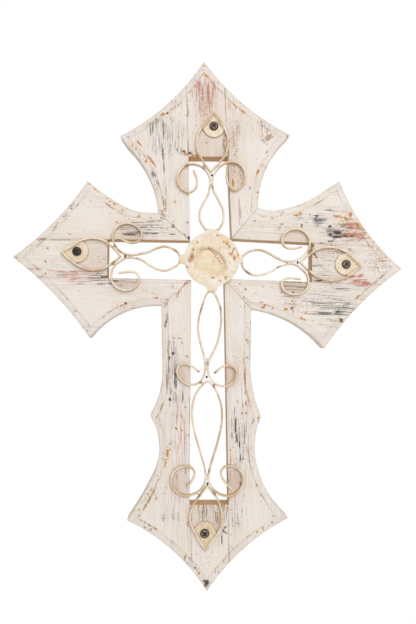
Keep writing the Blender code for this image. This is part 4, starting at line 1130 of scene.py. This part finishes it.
def mark_depth(x, z):
    """Share of its full depth that a short stroke has at a point of the dish."""
    deep = 0.0
    for i, (mx, mz, turn) in enumerate(MARKS):
        for du, dv, ang, long in ((0.0, 0.0, turn, 1.45), (0.4, (-0.6, 0.55, 0.1)[i % 3], turn - 75, 0.70)):
            a = math.radians(ang)
            px, pz = x - mx - du, z - mz - dv
            u = px * math.cos(a) + pz * math.sin(a)
            v = -px * math.sin(a) + pz * math.cos(a)
            r = (u / long) ** 2 + (v / 0.42) ** 2
            if r < 3.0:
                deep = max(deep, math.exp(-r * r))
    return deep


def nearest_spot(x, z, spots):
    return max(1.0 - math.hypot((x - bx) / bw, (z - bz) / bh) * 0.72 for bx, bz, bw, bh in spots)


def worked_face(x, z):
    """Depth in mm of a point on the disc's face, how rusty it is with painted shade on the dish wall, and
    how chalky it is.
    """
    inside = DISH_REACH - math.hypot(x - DISH_MID[0], z - DISH_MID[1])
    hollow = DISH_DEEP * ease(inside / 3.6) * ease((19.0 - math.hypot(x, z)) / 9.0)
    mark = mark_depth(x, z)
    hammered = uneven(x, z, 0.28, 3.0) * 0.08 + uneven(x, z, 0.9, 7.0) * 0.03
    deep = hollow + max(0.01, 0.06 + hammered) + mark * 0.18
    # Painted shade on the steep upper-right wall of the dish, carried with the rust
    painted_dish_wall_shade = math.exp(-((inside - 2.0) / 1.8) ** 2) * hollow / DISH_DEEP
    rust = max(0.0, nearest_spot(x, z, BLOTCHES) * 1.15, mark * 1.3, painted_dish_wall_shade * 0.70)
    return deep, min(1.2, rust), clamp(nearest_spot(x, z, CHALKY) * 1.6)


def make_disc(mat):
    """Disc in rings, from the middle of its face over the rim to the middle of its back."""
    centre = iron_point(DISC)
    bm = bmesh.new()
    rows = []
    values = []

    def ring(reach, deep, worked=False, count=DISC_STEPS):
        row = []
        for i in range(count):
            a = 360.0 * i / DISC_STEPS
            x = reach(a) * math.cos(math.radians(a))
            z = reach(a) * math.sin(math.radians(a))
            sunk, rust, chalk = worked_face(x, z) if worked else (0.0, 0.0, 0.0)
            row.append(bm.verts.new(place(centre.x + x, centre.y + z, Y_DISC_FRONT + (deep + sunk) * MM)))
            values.append((rust, chalk))
        rows.append(row)

    ring(lambda a: 0.0, 0.0, True, 1)
    for k in range(1, FINE_RINGS + 1):
        ring(lambda a: RING_STEP * k, 0.0, True)
    last = RING_STEP * FINE_RINGS
    for share in RIM_SHARES:
        ring(lambda a: last + (disc_reach(a) - RIM_INSET - last) * share / RIM_SHARES[-1], 0.0, True)
    for back, deep in RIM_TURN:
        ring(lambda a: disc_reach(a) - back, deep)
    for r, deep in DISC_BACK:
        ring(lambda a: r, deep)
    ring(lambda a: 0.0, DISC_BACK[-1][1], False, 1)
    bridge(bm, rows)
    ob = finish_piece("disc_dished", bm, [mat], "disc", 50.0)
    store(ob, "FLOAT", rust=[rust for rust, chalk in values], chip=[chalk for rust, chalk in values])


# Tabs: radius of the free round edge, angle from the point where it starts, and points round the plate
TAB_R = 10.2
TAB_FREE = math.radians(70.0)
TAB_STEPS = 144
# Radius of the hole round the screw, and how far in from the outline the paint bead has run out
HOLE_R = 2.4
BEAD_WIDE = 2.3
# Rings of a tab: inset from its outline, share of the way to the hole, depth behind its front in mm,
# and how far the bead of paint rises against the arch in mm
TAB_RINGS = [
    (0.0, 0.0, 2.0, 0.0), (0.0, 0.0, 0.7, 2.5), (0.10, 0.0, 0.32, 2.1), (0.28, 0.0, 0.11, 1.8),
    (0.55, 0.0, 0.02, 1.45), (0.95, 0.0, 0.0, 0.95), (1.4, 0.0, 0.0, 0.5), (1.9, 0.0, 0.0, 0.18),
    *((BEAD_WIDE, share, 0.0, 0.0) for share in (0.05, 0.2, 0.4, 0.6, 0.8, 1.0)), (BEAD_WIDE, 1.0, 2.0, 0.0),
]


def ray_reach(centre, ang, loop):
    """Distance from a centre to a closed loop along an angle."""
    d = Vector((math.cos(ang), math.sin(ang)))
    best = math.inf
    for p, q in zip(loop, loop[1:] + loop[:1]):
        e = q - p
        w = p - centre
        det = d.x * e.y - d.y * e.x
        if abs(det) > 1e-12:
            t = (w.x * e.y - w.y * e.x) / det
            s = (w.x * d.y - w.y * d.x) / det
            if t > 0.0 and -1e-9 <= s <= 1.0 + 1e-9:
                best = min(best, t)
    return best


def tab_outline(arm, centre, toward):
    """Angle, reach and share held by the arch at each point round a tab, from the point of the arch on."""
    path = arch_path(ARCHES[arm])
    sides = ([], [])
    for p, (t, stretch) in zip(path, tangents(path, True)):
        n = Vector((-t.y, t.x)) * (STRAP_W / 2.0 - 0.1) * stretch
        sides[0].append(p + n)
        sides[1].append(p - n)
    inner = min(sides, key=lambda side: sum((p - centre).length for p in side))
    angles = [toward - 2.0 * math.pi * i / TAB_STEPS for i in range(TAB_STEPS)]
    reaches = []
    held = []
    for ang in angles:
        reach = ray_reach(centre, ang, inner)
        free = abs((ang - toward + math.pi) % (2.0 * math.pi) - math.pi) > TAB_FREE
        reaches.append(min(reach, TAB_R) if free else reach)
        held.append(0.0 if free and reach > TAB_R else 1.0)
    soft = [sum(held[(i + k) % TAB_STEPS] for k in range(-3, 4)) / 7.0 for i in range(TAB_STEPS)]
    return list(zip(angles, reaches, soft))


def make_tab(arm, mat):
    """Plate in the point of an arch, with a rubbed free edge browned partly as painted shade, and a bead of
    paint along the arch.
    """
    centre = iron_point(SCREWS[arm])
    crotch = iron_point(ARCHES[arm][0])
    point = max((iron_point(p) for p in ARCHES[arm]), key=lambda p: (p - crotch).length)
    toward = math.atan2(point.y - centre.y, point.x - centre.x)
    outline = tab_outline(arm, centre, toward)
    bm = bmesh.new()
    rows = []
    for inset, share, depth, bead in TAB_RINGS:
        row = []
        for ang, reach, held in outline:
            r = (reach - inset) * (1.0 - share) + HOLE_R * share
            x = centre.x + r * math.cos(ang)
            z = centre.y + r * math.sin(ang)
            dent = uneven(x, z, 0.3, 1.0) * 0.05 + 0.05 if depth == 0.0 and share < 1.0 else 0.0
            row.append(bm.verts.new(place(x, z, Y_TAB_FRONT + (depth + dent - bead * held) * MM)))
        rows.append(row)
    bridge(bm, rows, True)
    ob = finish_piece("plate_" + arm, bm, [mat], "tab_" + arm, 50.0)
    rust = []
    for v in ob.data.vertices:
        x = v.co.x / MM - centre.x
        z = v.co.z / MM + HANG_Z - centre.y
        r = math.hypot(x, z)
        turn = round((toward - math.atan2(z, x)) / (2.0 * math.pi) * TAB_STEPS) % TAB_STEPS
        ang, reach, held = outline[turn]
        # Browned rim of the plate, partly rubbed paint and partly painted shade along its rounded edge; a
        # fainter tan ring lies just outside the screw head
        edge = max(0.0, (r / reach - 0.90) / 0.10)
        around = max(0.0, 1.0 - abs(r - 4.5) / 0.9)
        rust.append(max(0.42 * edge * (1.0 - held), 0.22 * edge * held, 0.30 * around))
    store(ob, "FLOAT", rust=rust)


# Screws: points round, radii of the rings on the head, and where the crown turns down to the rim
SCREW_STEPS = 128
HEAD_RINGS = [0.0] + [0.13 * i for i in range(1, 26)] + [3.5, 3.7, 3.88, 4.02, 4.11, HEAD_R]
CROWN_R = 3.4
# Cross recess: half width in the middle, half length and depth, in mm
RECESS_HALF = 0.72
RECESS_LONG = 2.75
RECESS_DEEP = 1.25
# Radius of the shank in mm and depth of its tip in metres
SHANK_R = 2.1
Y_TIP = Y_FRONT + 0.012


def head_point(r, a, stain):
    """Depth of a point on a screw's head, and how dark it is: painted shade in the cross recess along angle
    0, darker towards the rim, and stain.
    """
    if r < CROWN_R:
        rise = HEAD_HIGH * (1.0 - 0.22 * (r / CROWN_R) ** 2)
    else:
        t = (r - CROWN_R) / (HEAD_R - CROWN_R)
        rise = HEAD_HIGH * 0.78 * math.sqrt(max(0.0, 1.0 - t * t))
    u = r * math.cos(a)
    v = r * math.sin(a)
    small, large = sorted((abs(u), abs(v)))
    recess = clamp((RECESS_HALF - 0.12 * large - small) / 0.22 + 0.5) * clamp((RECESS_LONG - large) / 0.35)
    deep = RECESS_DEEP * recess * (1.0 - 0.28 * large / 2.4)
    y = Y_HEAD_BACK - (rise - deep - 0.03 + uneven(u, v, 1.0, 5.0) * 0.02) * MM
    return min(y, Y_HEAD_BACK), max(recess, ease((r - 2.9) / 0.9), stain)


def make_screw(arm, mat):
    """Round-headed screw with a tapered cross recess painted dark as shade, worn bright at the edges, and
    its plain shank.
    """
    centre = iron_point(SCREWS[arm])
    bm = bmesh.new()
    rows = []
    dark = []

    def ring(r, shape):
        row = []
        for i in range(1 if r == 0.0 else SCREW_STEPS):
            a = 2.0 * math.pi * i / SCREW_STEPS
            y, shade = shape(a)
            row.append(bm.verts.new(place(centre.x + r * math.cos(a), centre.y + r * math.sin(a), y)))
            dark.append(shade)
        rows.append(row)

    for r in HEAD_RINGS:
        ring(r, lambda a: head_point(r, a - SCREW_TURN[arm], SCREW_STAIN[arm]))
    for r, y in ((SHANK_R, Y_HEAD_BACK), (SHANK_R, Y_TIP - 0.003), (0.0, Y_TIP)):
        ring(r, lambda a: (y, 1.0))
    bridge(bm, rows)
    ob = finish_piece("head_" + arm, bm, [mat], "screw_" + arm, 40.0)
    # The deep values are painted shade in the cross recess, darkening towards the rim, and stain
    store(ob, "FLOAT", deep=dark)


make_iron(iron_paint())
ivory = ivory_paint()
make_disc(ivory)
steel = dark_steel()
for arm in ARCHES:
    make_tab(arm, ivory)
    make_screw(arm, steel)


# Stage, light and camera, in metres
FLOOR_R = 2.2
FLOOR_Z = -1.45
# Strength of the white ground as a light, and as the camera sees it
GROUND_LIGHT = 0.62
GROUND_SEEN = 1.0
KEY_AT = Vector((0.3, -2.0, 0.42))
KEY_AIM = Vector((0.0, 0.0, -0.23))
KEY_SIZE = 1.6
KEY_ENERGY = 26.4
LENS = 39.06
CAMERA_AT = Vector((-0.0269, -0.6377, -0.2045))
CAMERA_AIM = Vector((0.0024, -0.019, -0.1882))
CAMERA_ROLL = -0.311

scene = bpy.context.scene
pale = Tree("pale_floor")
pale.bsdf.inputs["Base Color"].default_value = (0.9, 0.9, 0.9, 1.0)
pale.bsdf.inputs["Roughness"].default_value = 0.8
bm = bmesh.new()
bmesh.ops.create_circle(bm, cap_ends=True, segments=64, radius=FLOOR_R)
me = bpy.data.meshes.new("floor")
bm.to_mesh(me)
bm.free()
me.materials.append(pale.mat)
floor = bpy.data.objects.new("floor", me)
floor.location = (0.0, 0.0, FLOOR_Z)
scene.collection.objects.link(floor)

# The ground behind the cross is plain white, and the light that it gives is a little softer
world = bpy.data.worlds.new("studio")
scene.world = world
world.use_nodes = True
nodes = world.node_tree.nodes
background = nodes["Background"]
background.inputs["Color"].default_value = (1.0, 1.0, 1.0, 1.0)
ray = nodes.new("ShaderNodeLightPath")
strength = nodes.new("ShaderNodeMapRange")
strength.inputs["To Min"].default_value = GROUND_LIGHT
strength.inputs["To Max"].default_value = GROUND_SEEN
world.node_tree.links.new(ray.outputs["Is Camera Ray"], strength.inputs["Value"])
world.node_tree.links.new(strength.outputs["Result"], background.inputs["Strength"])

key_data = bpy.data.lights.new("key", "AREA")
key_data.shape = "DISK"
key_data.size = KEY_SIZE
key_data.energy = KEY_ENERGY
key = bpy.data.objects.new("key", key_data)
key.location = KEY_AT
key.rotation_euler = (KEY_AIM - KEY_AT).to_track_quat("-Z", "Y").to_euler()
scene.collection.objects.link(key)

cam_data = bpy.data.cameras.new("camera")
cam_data.sensor_width = 36.0
cam_data.lens = LENS
cam_data.clip_start = 0.01
camera = bpy.data.objects.new("camera", cam_data)
camera.location = CAMERA_AT
turn = (CAMERA_AIM - CAMERA_AT).to_track_quat("-Z", "Y").to_matrix()
camera.rotation_euler = (turn @ Euler((0.0, 0.0, math.radians(CAMERA_ROLL))).to_matrix()).to_euler()
scene.collection.objects.link(camera)
scene.camera = camera
scene.view_settings.view_transform = "Standard"
